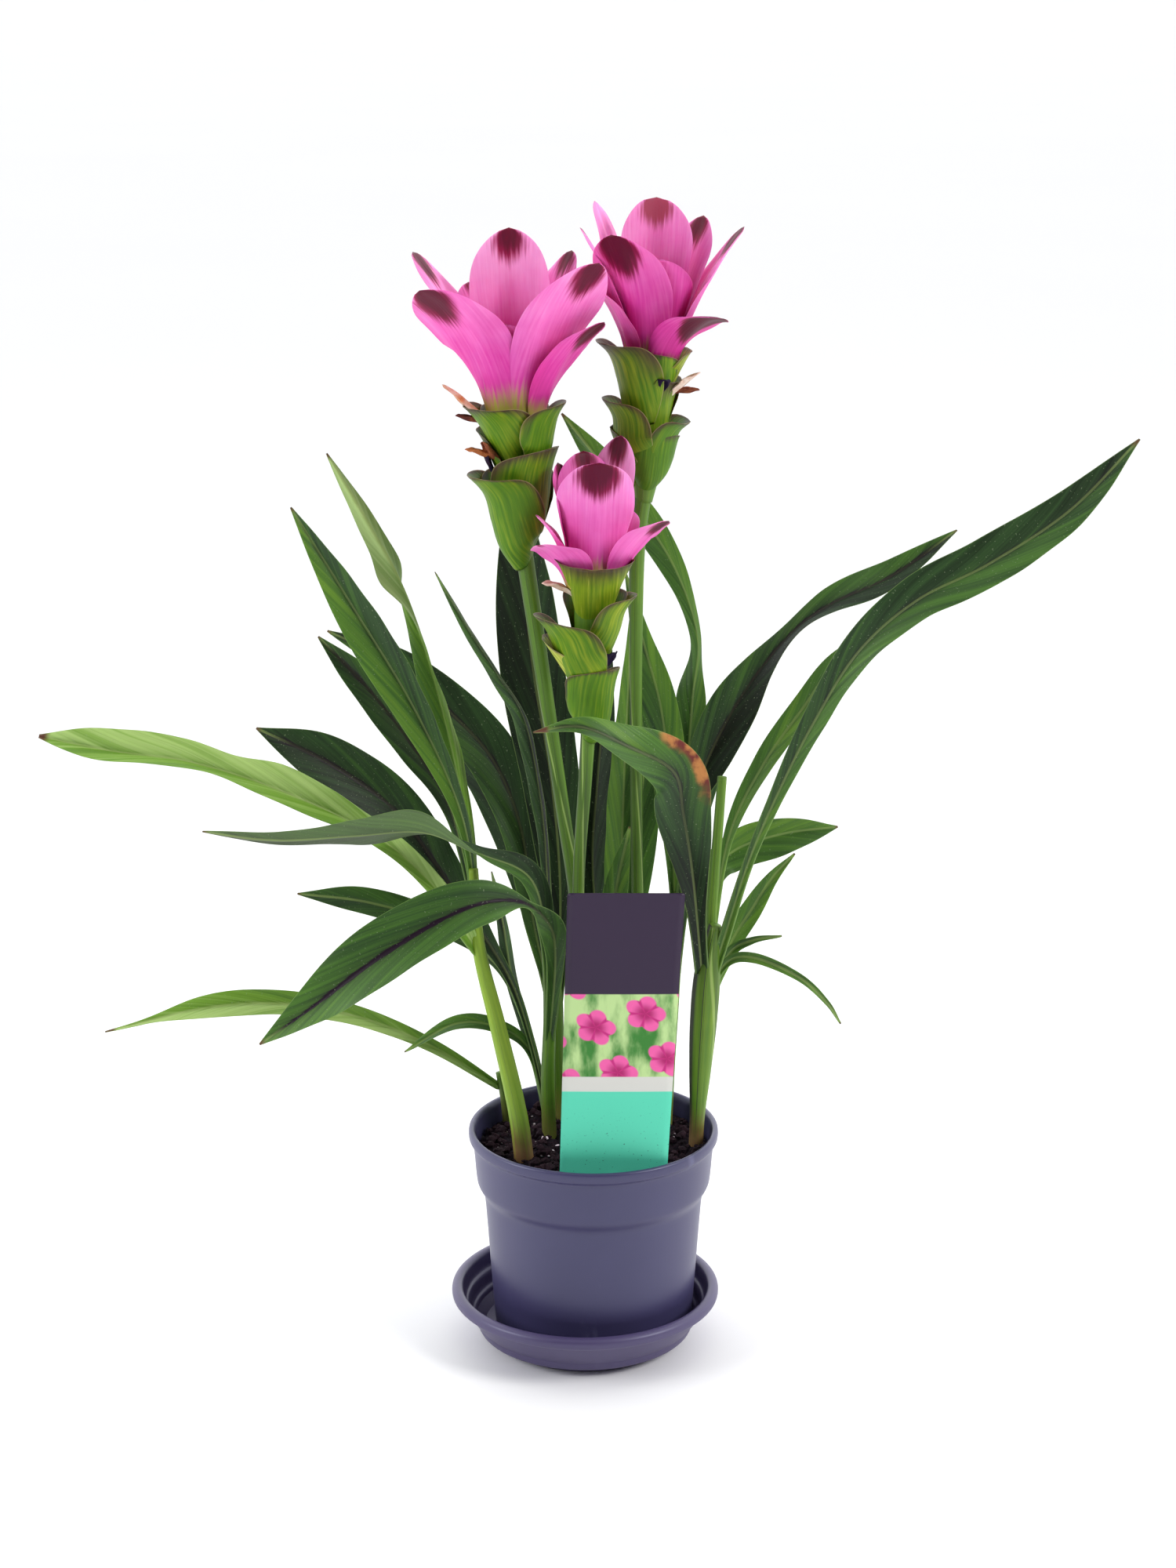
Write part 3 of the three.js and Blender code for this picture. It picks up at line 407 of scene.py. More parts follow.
def scattered(count, low, high, flat, reach, sunk=0.4):
    """Crumbs strewn over the soil: each is the small ball, stretched, dented and turned at random."""
    ball, faces = crumb_shape()
    spin = chance.uniform(0, 2 * np.pi, count)
    size = chance.uniform(low, high, (count, 1, 1))
    size = size * chance.uniform([1, 0.6, flat], [1.3, 1, 1], (count, 1, 3))
    dents = chance.uniform(0.75, 1.15, (count, len(ball), 1))
    lying = ball * size * dents
    turned_x = lying[..., 0] * np.cos(spin)[:, None] - lying[..., 1] * np.sin(spin)[:, None]
    turned_y = lying[..., 0] * np.sin(spin)[:, None] + lying[..., 1] * np.cos(spin)[:, None]
    out = reach * np.sqrt(chance.uniform(0, 1, count))
    way = chance.uniform(0, 2 * np.pi, count)
    place_x, place_y = out * np.cos(way), out * np.sin(way)
    ring = np.abs(soil_rings[:, None] - out).argmin(0) + len(soil_edge) + 1
    column = np.round(way / (2 * np.pi) * len(soil_angle)).astype(int) % len(soil_angle)
    ground = soil_height[ring, column] + size[:, 0, 2] * sunk
    points = np.stack([
        turned_x + place_x[:, None] + pot_x, turned_y + place_y[:, None], lying[..., 2] + ground[:, None],
    ], -1)
    step = np.arange(count)[:, None, None] * len(ball)
    return points.reshape(-1, 3), (faces + step).reshape(-1, 4), {}


bark = Finish("bark_crumbs", Roughness=0.9, Specular_IOR_Level=0.3)
bark.tone = bark.mixed(bark.noise(160, 3), colour(6, 1, 9), colour(48, 20, 34))
bark.bump(bark.noise(900, 3), 0.4)
bark_pieces = [scattered(700, 0.7, 1.9, 0.4, 53), scattered(160, 1.6, 3.4, 0.35, 51)]
bark_crumbs = mesh_piece("soil_bark_crumbs", bark_pieces, bark.paint(), smooth=False)
grain = Finish("perlite", Roughness=0.85)
grain.tone = grain.mixed(grain.noise(500, 2), colour(198, 168, 188), colour(252, 244, 250))
grain.bump(grain.noise(1400, 3), 0.2)
grain_pieces = [scattered(240, 0.4, 1.2, 0.6, 53, 0.6)]
perlite_grains = mesh_piece("soil_perlite", grain_pieces, grain.paint(), smooth=False)
for crumbs_piece in (bark_crumbs, perlite_grains):
    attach(crumbs_piece, "root")
    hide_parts("soil")

# Label
# A printed plastic card on a stake, pushed in behind the front wall and leaning a little right.
# It is bare dark purple above and bare green below, with a printed band of round flowers between.
label_y = -43.0
label_thick = 0.8
label_bottom, label_top = 101.0, 239.0
label_bottom_x, label_top_x = 13.2, 18.8
label_bottom_half, label_top_half = 25.1, 26.8


def label_outline():
    """Half the card's width at each height: the stake's point, the stake, and the card's corners."""
    turn = np.linspace(0, np.pi / 2, 7)
    corner = 1.3
    inward, upward = corner - corner * np.sin(turn), corner - corner * np.cos(turn)
    lower = np.stack([label_bottom_half - inward, label_bottom + upward], -1)
    upper = np.stack([label_top_half - upward, label_top - inward], -1)
    stake = np.array([[5, 74], [7.6, 77.5], [10, 82], [10, 98], [11.5, 100.8]])
    side = np.linspace(lower[-1], upper[0], 12)[1:-1]
    return np.vstack([stake, lower, side, upper])


outline = label_outline()
across = np.linspace(-1, 1, 17)
rise = (outline[:, 1:] - label_bottom) / (label_top - label_bottom)
card_x = label_bottom_x + (label_top_x - label_bottom_x) * rise + outline[:, :1] * across
card_z = outline[:, 1:] + 0 * across
card_bow = 0.35 * np.sin(np.pi * np.clip(rise, 0, 1)) * (1 - across ** 2)
front = np.stack([card_x, label_y - label_thick / 2 - card_bow, card_z], -1)
back = np.stack([card_x, label_y + label_thick / 2 - card_bow, card_z], -1)
rows, columns = card_x.shape
ring_order = np.hstack([front, back[:, ::-1]])
card_points = ring_order.reshape(-1, 3)
card_faces = ring_faces(rows, 2 * columns)
card_marks = {
    "across": np.hstack([across + 0 * rise, across[::-1] + 0 * rise]).ravel(),
    "up": np.repeat(np.clip(rise, 0, 1), 2 * columns, axis=1).ravel(),
}
purple_from, band_from, strip_from = 0.6486, 0.355, 0.302
print_face = Finish("label_print", Specular_IOR_Level=0.35)
card = print_face.marks("across up")


def above(level, soft=0.002):
    """1 where the card is higher than the level, a share of its height, and 0 below it."""
    return print_face.smooth(card.up, level - soft, level + soft)


def tile(amount):
    """Where a point lies in its tile: -0.5 to 0.5 for each whole number that the amount passes."""
    return amount - amount.math("ROUND", amount, 0)


tile_x, tile_y = tile(card.across + card.up * 2.7), tile(card.up * 5.4 - card.across * 0.3)
from_heart = (tile_x ** 2 + tile_y ** 2) ** 0.5
lobes = abs((tile_x.math("ARCTAN2", tile_x, tile_y) * 2.5).sine())
rosette = print_face.smooth(from_heart - lobes * 0.1, 0.3, 0.26)
leafy = print_face.smooth(print_face.noise(130, 4, (1, 1, 0.4)), 0.35, 0.65)
meadow = print_face.mixed(leafy, colour(52, 128, 44), colour(190, 222, 150))
lobe_tone = print_face.mixed(
    print_face.smooth(from_heart, 0.06, 0.28), colour(176, 20, 104), colour(240, 96, 170),
)
lobe_tone = print_face.mixed(print_face.smooth(lobes, 0.5, 0.1), lobe_tone, colour(198, 34, 124))
print_face.tone = print_face.mixed(above(strip_from), colour(88, 216, 182), colour(214, 214, 208))
print_face.coat(above(band_from), print_face.mixed(rosette, meadow, lobe_tone))
print_face.coat(above(purple_from), colour(44, 27, 56))
soil_specks = print_face.smooth(print_face.noise(900, 2), 0.68, 0.72) * (1 - above(0.16, 0.14))
print_face.coat(soil_specks, colour(40, 28, 30))
print_face.bump(print_face.noise(300, 2), 0.03, 0.4)
label = mesh_piece(
    "label_printed", [(card_points, card_faces, card_marks)],
    print_face.paint(0.42 + soil_specks * 0.3),
)
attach(label, "root")
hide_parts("label")

# Leafy shoots
# Each shoot is a stem of rolled sheaths that stands in the soil, and the leaves that leave it one
# above the other. A leaf is a long thin blade with a channelled stalk, a sunk midrib, slanting
# veins that crease it lightly, and waved margins.


def spline(stops, t):
    """A smooth curve through evenly spaced stops, numbers or points, read at shares t of it.

    Between two stops it is the cubic whose slopes there are half the way between their neighbours.
    """
    stops = np.asarray(stops, float)
    padded = np.concatenate([[2 * stops[0] - stops[1]], stops, [2 * stops[-1] - stops[-2]]])
    place = np.clip(t, 0, 1) * (len(stops) - 1)
    first = np.minimum(place.astype(int), len(stops) - 2)
    u = (place - first).reshape(-1, *[1] * (stops.ndim - 1))
    before, start, end, after = (padded[first + k] for k in range(4))
    leave, arrive = (end - before) / 2, (after - start) / 2
    bend = 3 * (end - start) - 2 * leave - arrive + u * (2 * (start - end) + leave + arrive)
    return start + u * (leave + u * bend)


def unit(vectors):
    return vectors / np.linalg.norm(vectors, axis=-1, keepdims=True)


def walk(path, t):
    """Points and directions at shares t of a path's length, and the length in mm."""
    fine = np.linspace(0, 1, 401)
    hops = np.linalg.norm(np.diff(spline(path, fine), axis=0), axis=1)
    length = np.concatenate([[0], np.cumsum(hops)])
    place = np.interp(t * length[-1], length, fine)
    nudge = 0.001
    ahead = spline(path, np.minimum(place + nudge, 1))
    behind = spline(path, np.maximum(place - nudge, 0))
    return spline(path, place), unit(ahead - behind), length[-1]


def facing_frame(tangent, facing, turn):
    """The directions across and out of a blade, turned about its path by an angle in radians."""
    flat = unit(np.cross(tangent, facing))
    out = np.cross(flat, tangent)
    cos, sin = np.cos(turn)[:, None], np.sin(turn)[:, None]
    return flat * cos + out * sin, out * cos - flat * sin


def step(t, low, high):
    """0 below low, 1 above high, and a soft S between."""
    share = np.clip((t - low) / (high - low), 0, 1)
    return share * share * (3 - 2 * share)


def blade(path, facing, turn, t, v, half, rise, bend, relief, thick, marks):
    """A thin closed blade: an upper and a lower face that meet all round their edge.

    Row t lies across the path. Its section is an arc that leaves the midrib at the angle rise and
    bends by the angle bend out to the margin: at share v of the half width its chord is
    half sin(v bend) / bend, its height half (1 - cos(v bend)) / bend, both turned by rise. The
    faces lie half the thickness to each side of it, lifted by the relief, along its normal.
    """
    centre, tangent, _ = walk(path, t)
    across, face = facing_frame(tangent, facing, turn)
    side = np.abs(v)
    angle = side * bend[:, None]
    chord = half[:, None] * side * np.sinc(angle / np.pi)
    lift = half[:, None] * side * np.sin(angle / 2) * np.sinc(angle / 2 / np.pi)
    cos, sin = np.cos(rise)[:, None], np.sin(rise)[:, None]
    sideways = np.sign(v) * (chord * cos - lift * sin)
    upward = chord * sin + lift * cos
    middle = centre[:, None] + across[:, None] * sideways[..., None]
    middle = middle + face[:, None] * upward[..., None]
    slope = (rise[:, None] + angle)[..., None]
    normal = face[:, None] * np.cos(slope) - across[:, None] * np.sign(v)[:, None] * np.sin(slope)
    thick = thick.copy()
    thick[:, [0, -1]] = 0
    thick[[0, -1]] = 0
    upper = middle + normal * (relief + thick / 2)[..., None]
    lower = middle + normal * (relief - thick / 2)[..., None]
    rows, columns = sideways.shape
    faces = lines(rows, columns)
    under = np.arange(rows * columns).reshape(rows, columns)
    under[1:-1, 1:-1] = rows * columns + np.arange((rows - 2) * (columns - 2)).reshape(rows - 2, -1)
    lower_faces = under.ravel()[faces][:, ::-1]
    inner = (slice(1, -1), slice(1, -1))
    points = np.concatenate([upper.reshape(-1, 3), lower[inner].reshape(-1, 3)])
    spread = {"upper": np.concatenate([np.ones(rows * columns), np.zeros((rows - 2) * (columns - 2))])}
    for key, values in marks.items():
        grid = values + np.zeros((rows, columns))
        spread[key] = np.concatenate([grid.ravel(), grid[inner].ravel()])
    return points, np.concatenate([faces, lower_faces]), spread


def leaf(
    path, widths, turns, fold=16, facing=(0, -1, 0), tone=0.3, half_shade_and_flush=0.05, purple=0.2, rust=None,
    dry=0.0, wave=0.35,
):
    """A leaf: its stalk is a channel that opens into the blade by the middle of its length.

    Widths, turns and tones are evenly spaced stops, in mm, degrees and 0 to 1 from dark to light,
    and the halves' share is how much lighter the half at positive v is: painted light and shade on
    the two halves of the folded blade, and on some leaves also the real darker flush of one half.
    Rust is where a rusty patch lies: its share of the length, its spread, and the side of the
    midrib. Relief is a groove along the midrib, a pleat that repeats every few millimetres across
    the slanting veins, and a wave that grows with the cube of the share v towards the margin.
    """
    _, _, length = walk(path, np.array([0.0]))
    row_step = 1.5
    t = np.linspace(0, 1, max(60, int(length / row_step)))
    v = np.sin(np.pi / 2 * np.linspace(-1, 1, 31))
    opened = step(t, 0.05, 0.5)
    channel = np.radians(72) * (1 - opened) ** 1.5
    half = np.maximum(spline(widths, t), 0.3) / 2 / np.sinc(channel / np.pi)
    rise = np.radians(fold) * opened
    off = np.abs(v) * half[:, None]
    along = t[:, None] * length + 0 * off
    slant, vein_gap = np.radians(13), 3.4
    vein = (along * np.sin(slant) - off * np.cos(slant)) / vein_gap
    blade_part = opened[:, None] * step(1 - t, 0, 0.08)[:, None]
    middle_part = np.sin(np.pi * np.abs(v)) ** 0.7
    groove = -0.5 * np.exp(-((off / 1.3) ** 2)) * blade_part
    pleat = 0.07 * np.cos(2 * np.pi * vein) * middle_part * blade_part
    beat = chance.uniform(26, 40, 2)
    shift = chance.uniform(0, 2 * np.pi, 2)
    swing = np.sin(2 * np.pi * along / np.where(v < 0, *beat) + np.where(v < 0, *shift))
    ripple = wave * swing * np.abs(v) ** 3 * blade_part * np.minimum(half[:, None] / 9, 1)
    thick = 0.35 + 0.5 * np.exp(-((off / 1.8) ** 2)) * blade_part + 1.2 * (1 - opened[:, None])
    thick = thick * np.sqrt(np.clip(1 - np.abs(v) ** 6, 0, 1))
    tones = np.atleast_1d(tone)
    # Painted light and shade: one half of the blade lighter than the other, and on some leaves the real
    # darker flush of one half.
    shade = np.interp(t, np.linspace(0, 1, len(tones)), tones)[:, None] + half_shade_and_flush * np.tanh(5 * v)
    rusted = 0.0
    if rust:
        place, spread, side = rust
        rusted = np.exp(-(((t[:, None] - place) / spread) ** 2)) * step(v * side, 0.0, 1.0)
    marks = {
        "run": t[:, None], "off": off, "vein": vein, "rim": (1 - np.abs(v)) * half[:, None],
        "tone": shade, "purple": purple * blade_part, "rust": rusted, "dry": dry,
        "seed": chance.uniform(0, 100),
    }
    return blade(
        path, facing, np.radians(spline(turns, t)), t, v, half, rise * 1.3, channel - rise * 0.6,
        groove + pleat + ripple, thick, marks,
    )


def tube(path, radii, marks, ribs=0.0):
    """A closed round stem: rings on a path, whose radius swings with the angle by the ribs' share."""
    around, rib_count = 24, 9
    _, _, length = walk(path, np.array([0.0]))
    row_step = 2.0
    t = np.linspace(0, 1, max(8, int(length / row_step)))
    centre, tangent, _ = walk(path, t)
    across, face = facing_frame(tangent, (0, -1, 0), 0 * t)
    turn = np.linspace(0, 2 * np.pi, around, endpoint=False)
    radius = (spline(radii, t)[:, None] * (1 + ribs * np.cos(rib_count * turn)))[..., None]
    spokes = across[:, None] * np.sin(turn)[:, None] + face[:, None] * np.cos(turn)[:, None]
    points = (centre[:, None] + radius * spokes).reshape(-1, 3)
    marks = {"around": turn / (2 * np.pi), "along": t[:, None] * length, **marks}
    spread = {key: (values + np.zeros((len(t), around))).ravel() for key, values in marks.items()}
    return points, ring_faces(len(t), around), spread


def leaf_finish(name):
    """Leaf skin: green by its tone, paler below, with a purple midrib, slanting veins, a dry tip."""
    made = Finish(name, Specular_IOR_Level=0.22)
    at = made.marks("run off vein rim upper tone purple rust dry seed")
    clouds = made.noise(22, 4)
    place = made.vector(at.vein * 5.0, at.run * 3, at.seed)
    streaks = made.noise(1.0, 2, place=place)
    bands = made.noise(0.3, 2, place=place)
    green = made.ramp(
        at.tone + (clouds - 0.5) * 0.22 + (streaks - 0.5) * 0.25 + (bands - 0.5) * 0.5,
        (0, 20, 32, 18), (0.25, 44, 70, 36), (0.5, 74, 114, 44), (0.75, 112, 154, 50),
        (1, 170, 200, 116),
    )
    made.tone = made.mixed(at.upper, made.mixed(0.32, green, colour(124, 132, 108)), green)
    ridge = (at.vein * (2 * np.pi)).sine() * 0.5 + 0.5
    made.coat(ridge * made.smooth(at.run, 0.3, 0.5) * 0.06, colour(20, 36, 22))
    wander = at.off + (streaks - 0.5) * 1.6 + (clouds - 0.5) * 2
    made.coat((1 - made.smooth(wander, 0.5, 6.5)) * at.purple * 0.3, colour(30, 18, 30))
    made.coat((1 - made.smooth(wander, 0.5, 1.6)) * at.purple, colour(28, 8, 28))
    pale_rib = (1 - made.smooth(at.off, 0.3, 0.9)) * (1 - at.purple)
    made.coat(pale_rib * 0.35, colour(178, 200, 120))
    made.coat(made.smooth(made.noise(1300, 0), 0.77, 0.8) * 0.3, colour(150, 165, 130))
    rusty = made.smooth(at.rust + (made.noise(60, 5) - 0.5) * 1.1, 0.4, 0.75)
    blotches = made.smooth(made.noise(120, 4), 0.4, 0.6)
    made.coat(rusty, made.mixed(blotches, colour(110, 46, 44), colour(190, 128, 72)))
    tip = made.smooth(at.run + at.dry + (clouds - 0.5) * 0.02, 0.985, 1.0)
    made.coat(tip, colour(96, 60, 44))
    made.coat((1 - made.smooth(at.rim, 0.0, 0.45)) * 0.45, colour(128, 160, 84))
    made.bump(streaks * 0.75 + made.noise(900, 2) * 0.25, 0.2, 0.7)
    return made.paint(0.4 + (1 - at.upper) * 0.14 + clouds * 0.14 + rusty * 0.2)


def stem_finish(name):
    """Stem skin: green with lengthwise fibres and the edges of its sheaths.

    By its marks it is brown at the foot, and darker on its left side as painted shade.
    """
    made = Finish(name, Specular_IOR_Level=0.35)
    at = made.marks("around along tone brown dusk")
    fibres = made.noise(1.0, 3, place=made.vector(at.around * 22, at.along * 0.02))
    clouds = made.noise(40, 3)
    made.tone = made.ramp(
        at.tone + (fibres - 0.5) * 0.5 + (clouds - 0.5) * 0.25,
        (0, 38, 62, 24), (0.5, 88, 126, 34), (1, 150, 180, 48),
    )
    sheath = (at.around * np.pi + at.along * 0.012 + at.tone * 9).sine()
    rim_line = 1 - made.smooth(abs(sheath), 0.03, 0.09)
    made.coat(rim_line * 0.5, colour(168, 190, 110))
    shadow = made.smooth(sheath, 0.06, 0.12) * (1 - made.smooth(sheath, 0.2, 0.6))
    made.coat(shadow * 0.45, colour(30, 46, 22))
    # Painted shade: a band down the stem's left side is darkened, in place of the shade that side gets.
    left = made.smooth(at.around, 0.6, 0.7) * (1 - made.smooth(at.around, 0.84, 0.9))
    made.coat(left * at.dusk, colour(38, 30, 40))
    foot = (1 - made.smooth(at.along + (fibres - 0.5) * 26, 10, 34)) * at.brown
    made.coat(foot, made.mixed(clouds, colour(66, 36, 34), colour(170, 130, 84)))
    made.bump(fibres * 0.7 + rim_line * 0.3, 0.35, 0.6)
    return made.paint(0.4 + clouds * 0.15)


leaf_skin = leaf_finish("leaf_skin")
stem_skin = stem_finish("stem_skin")


def stalk(path, radii, tone=0.5, brown=0.5, dusk=0.35, ribs=0.03):
    """A stem: its tone from dark to light, how brown its foot is, and how much painted shade darkens its
    left side.
    """
    return tube(path, radii, {"tone": tone, "brown": brown, "dusk": dusk}, ribs)


def shoot(name, slot_name, stalks, *leaves):
    """One shoot: its leaves are one piece and its stems another, and both stand for its solid."""
    made = [
        mesh_piece(name + "_leaves", leaves, leaf_skin), mesh_piece(name + "_stem", stalks, stem_skin),
    ]
    for piece in made:
        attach(piece, "root")
        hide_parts(name)


shoot(
    "shoot_left", "lime_leaf", [
        stalk([[-28, -19, 88], [-32, -16, 121], [-41, -13, 163], [-50, -12, 204], [-52, -9, 240]],
            [4.8, 4.2, 3.4, 2.2], tone=0.8, brown=1, dusk=0.0),
    ],
    leaf(
        [[-50, -12, 200], [-71, -20, 236], [-98, -28, 263], [-139, -36, 286], [-178, -40, 300],
        [-212, -40, 305], [-246, -36, 311]],
        [5, 9, 10, 12, 14, 20, 23, 17, 21, 22, 17, 2], [-20, -30, -40, -45, -50, -60, -50, -30], fold=30,
        tone=0.84, half_shade_and_flush=0.1, dry=0.008,
    ),
    leaf(
        [[-50, -11, 215], [-57, -2, 263], [-79, 6, 313], [-107, 12, 360], [-135, 16, 406]],
        [3, 4, 8, 14, 20, 23, 20, 12, 1], [10, 10, 0], fold=26, tone=0.42, half_shade_and_flush=-0.16, purple=0.4,
    ),
    leaf(
        [[-51, -10, 215], [-55, 4, 258], [-68, 14, 317], [-84, 20, 366], [-101, 24, 398], [-119, 28, 429]],
        [3, 4, 7, 11, 15, 19, 19, 17, 14, 11, 18, 13, 10, 6, 1], [20, 25, 30, 35, 45, 60, 145, 165, 160],
        fold=30, tone=[0.6, 0.7, 0.98], purple=0, half_shade_and_flush=0.1,
    ),
    leaf(
        [[-51, -9, 220], [-64, 20, 261], [-81, 34, 286], [-103, 44, 313], [-127, 48, 338]],
        [3, 4, 7, 13, 18, 18, 13, 1], [-10, -20, -10], fold=18, tone=0.3, purple=0.9,
    ),
)
shoot(
    "shoot_low_left", "lime_leaf", [
        stalk([[-37, 27, 88], [-39, 28, 108], [-42, 29, 124]], [3, 2.4, 1.8]),
    ],
    leaf(
        [[-42, 29, 116], [-74, 14, 143], [-107, 0, 163], [-142, -14, 175], [-179, -20, 175],
        [-225, -22, 164]],
        [3, 5, 7, 9, 11, 13, 14, 12, 4, 1], [-40, -40, -45, -50, -45, -60], fold=12, tone=0.84,
        half_shade_and_flush=-0.12, dry=0.015,
    ),
)
shoot(
    "shoot_middle", "green_leaf", [
        stalk([[-17, 12, 88], [-18, 8, 127], [-17, 4, 161], [-18, 0, 196]], [3.6, 3.2, 2.4]),
    ],
    leaf(
        [[-17, 4, 150], [-14, -9, 195], [-17, -23, 218], [-31, -42, 235], [-55, -55, 235],
        [-90, -64, 217], [-123, -68, 193], [-147, -70, 176]],
        [4, 6, 9, 13, 4, 22, 30, 32, 28, 16, 1], [0, 0, -20, -35, -40, -35, -30], fold=18,
        tone=[0.34, 0.36, 0.48], half_shade_and_flush=-0.04, purple=1.1,
    ),
    leaf(
        [[-17, 3, 161], [-19, -4, 207], [-26, -16, 238], [-49, -30, 254], [-73, -42, 268],
        [-103, -54, 270], [-137, -64, 271], [-169, -72, 277]],
        [4, 5, 8, 13, 16, 14, 20, 35, 22, 12, 7, 1], [-20, -30, -45, -80, -125, -135, -145, -150], fold=8,
        tone=[0.25, 0.36, 0.26], half_shade_and_flush=-0.12, purple=0.1,
    ),
    leaf(
        [[-18, 11, 110], [-26, 14, 146], [-36, 13, 178], [-54, 12, 209], [-71, 10, 237], [-90, 6, 265],
        [-119, 2, 288], [-152, -2, 306]],
        [3, 3, 4, 6, 14, 21, 25, 27, 22, 1], [0, 0, -20, -30, -20], fold=12, tone=0.2, purple=0.9,
    ),
    leaf(
        [[-18, 11, 105], [-27, 20, 146], [-42, 24, 180], [-70, 22, 202], [-103, 14, 216], [-136, 6, 223]],
        [3, 3, 3, 4, 9, 14, 13, 1], [0, -30, -40], fold=14, tone=0.35, purple=0,
    ),
    leaf(
        [[-18, 11, 108], [-27, 14, 141], [-42, 8, 155], [-62, 2, 159], [-86, -4, 147]],
        [2, 3, 5, 8, 9, 7, 1], [-10, -50, -60], tone=0.5,
    ),
    leaf(
        [[-18, 11, 104], [-25, 24, 133], [-35, 30, 171], [-40, 33, 202], [-45, 35, 225]],
        [2, 3, 6, 8, 7, 1], [20, 40], tone=0.2,
    ),
)
shoot(
    "shoot_back", "green_leaf", [
        stalk([[-13, 32, 88], [-14, 33, 125], [-14, 35, 162], [-15, 38, 190]], [4, 3.6, 2.4]),
    ],
    leaf(
        [[-14, 34, 150], [-25, 40, 197], [-31, 50, 241], [-45, 66, 272], [-68, 78, 295], [-95, 88, 316],
        [-127, 96, 330]],
        [3, 6, 12, 20, 26, 28, 24, 14, 1], [0, -10, -30, -20], fold=14, tone=0.26, half_shade_and_flush=-0.08,
        purple=0.8,
    ),
    leaf(
        [[-14, 35, 149], [-12, 40, 212], [-16, 46, 266], [-24, 52, 315], [-29, 56, 360], [-34, 58, 418]],
        [4, 8, 16, 24, 29, 32, 32, 28, 17, 1], [0, 5, 0], fold=14, tone=0.1, purple=0.3,
    ),
    leaf(
        [[-14, 34, 160], [-17, 24, 210], [-20, 24, 257], [-28, 32, 300], [-41, 40, 321], [-57, 46, 345],
        [-71, 50, 369]],
        [3, 4, 5, 8, 12, 14, 11, 7, 1], [20, 50, 50], fold=24, tone=[0.1, 0.1, 0.35], half_shade_and_flush=-0.16,
        purple=0.5,
    ),
    leaf(
        [[-14, 36, 145], [-16, 70, 219], [-19, 92, 273], [-21, 108, 317], [-23, 118, 355]],
        [3, 6, 14, 20, 19, 11, 1], [0, 10, 20], tone=0.15,
    ),
    leaf(
        [[-15, 37, 147], [-30, 66, 208], [-46, 96, 248], [-73, 124, 276], [-104, 146, 297]],
        [3, 6, 14, 22, 21, 12, 1], [0, -20, -30], tone=0.2,
    ),
)
shoot(
    "shoot_centre", "green_leaf", [
        stalk([[11, 42, 88], [11, 43, 125], [12, 44, 160]], [3.8, 3.4, 2.4]),
    ],
    leaf(
        [[12, 43, 140], [17, 50, 217], [19, 56, 271], [21, 60, 317], [22, 62, 347]],
        [4, 9, 17, 20, 17, 10, 1], [0, -20, -30], tone=0.5, half_shade_and_flush=-0.1, purple=0,
    ),
    leaf(
        [[12, 44, 138], [4, 60, 214], [6, 68, 259], [10, 74, 305], [12, 78, 340]],
        [4, 9, 17, 21, 18, 10, 1], [0, 20, 20], tone=0.1, purple=0.5,
    ),
    leaf(
        [[12, 43, 125], [15, 70, 153], [21, 100, 172], [28, 130, 179], [36, 158, 174]],
        [3, 7, 18, 23, 20, 12, 1], [0, 0], facing=[0, 0, 1], tone=0.25,
    ),
    leaf(
        [[12, 44, 135], [24, 80, 216], [30, 104, 266], [30, 122, 310]],
        [3, 7, 17, 21, 18, 10, 1], [0, -10], tone=0.48, half_shade_and_flush=-0.1, purple=0,
    ),
    leaf(
        [[11, 40, 128], [12, 24, 175], [14, 14, 217], [21, 10, 255]],
        [3, 4, 9, 13, 11, 1], [0, 10], tone=0.55,
    ),
)
shoot(
    "shoot_back_right", "green_leaf", [
        stalk([[38, 26, 88], [40, 27, 130], [43, 30, 175], [45, 34, 215]], [4.4, 4, 3.4, 2.4]),
    ],
    leaf(
        [[44, 30, 190], [50, 36, 249], [58, 44, 276], [75, 56, 306], [97, 68, 332], [118, 76, 347],
        [150, 86, 360], [181, 92, 381]],
        [4, 4, 5, 12, 23, 25, 18, 12, 17, 18, 12, 1], [0, 0, 0, 0, 10, 20, 40, 62, 50, 40, 40, 40],
        fold=20, tone=[0.1, 0.14, 0.3], half_shade_and_flush=-0.14, purple=0.9,
    ),
    leaf(
        [[44, 33, 200], [49, 50, 268], [52, 58, 305], [54, 62, 336], [41, 64, 372], [16, 62, 408],
        [-11, 58, 443]],
        [4, 4, 8, 14, 17, 11, 12, 16, 15, 12, 1], [0, 0, 0, 10, 30, 62, 40, 20, 0, -10, -10], fold=14,
        tone=0.5, half_shade_and_flush=0.08, purple=0.1,
    ),
    leaf(
        [[44, 31, 190], [42, 38, 240], [40, 42, 275], [36, 42, 306], [28, 42, 336], [19, 40, 371]],
        [3, 4, 8, 14, 19, 20, 16, 8, 1], [0, 10, 20], fold=20, tone=0.52, half_shade_and_flush=0.1, purple=0.1,
    ),
    leaf(
        [[43, 30, 160], [51, 64, 237], [62, 96, 270], [82, 124, 295], [105, 146, 316]],
        [3, 6, 14, 22, 21, 12, 1], [0, 20, 30], tone=0.2,
    ),
)
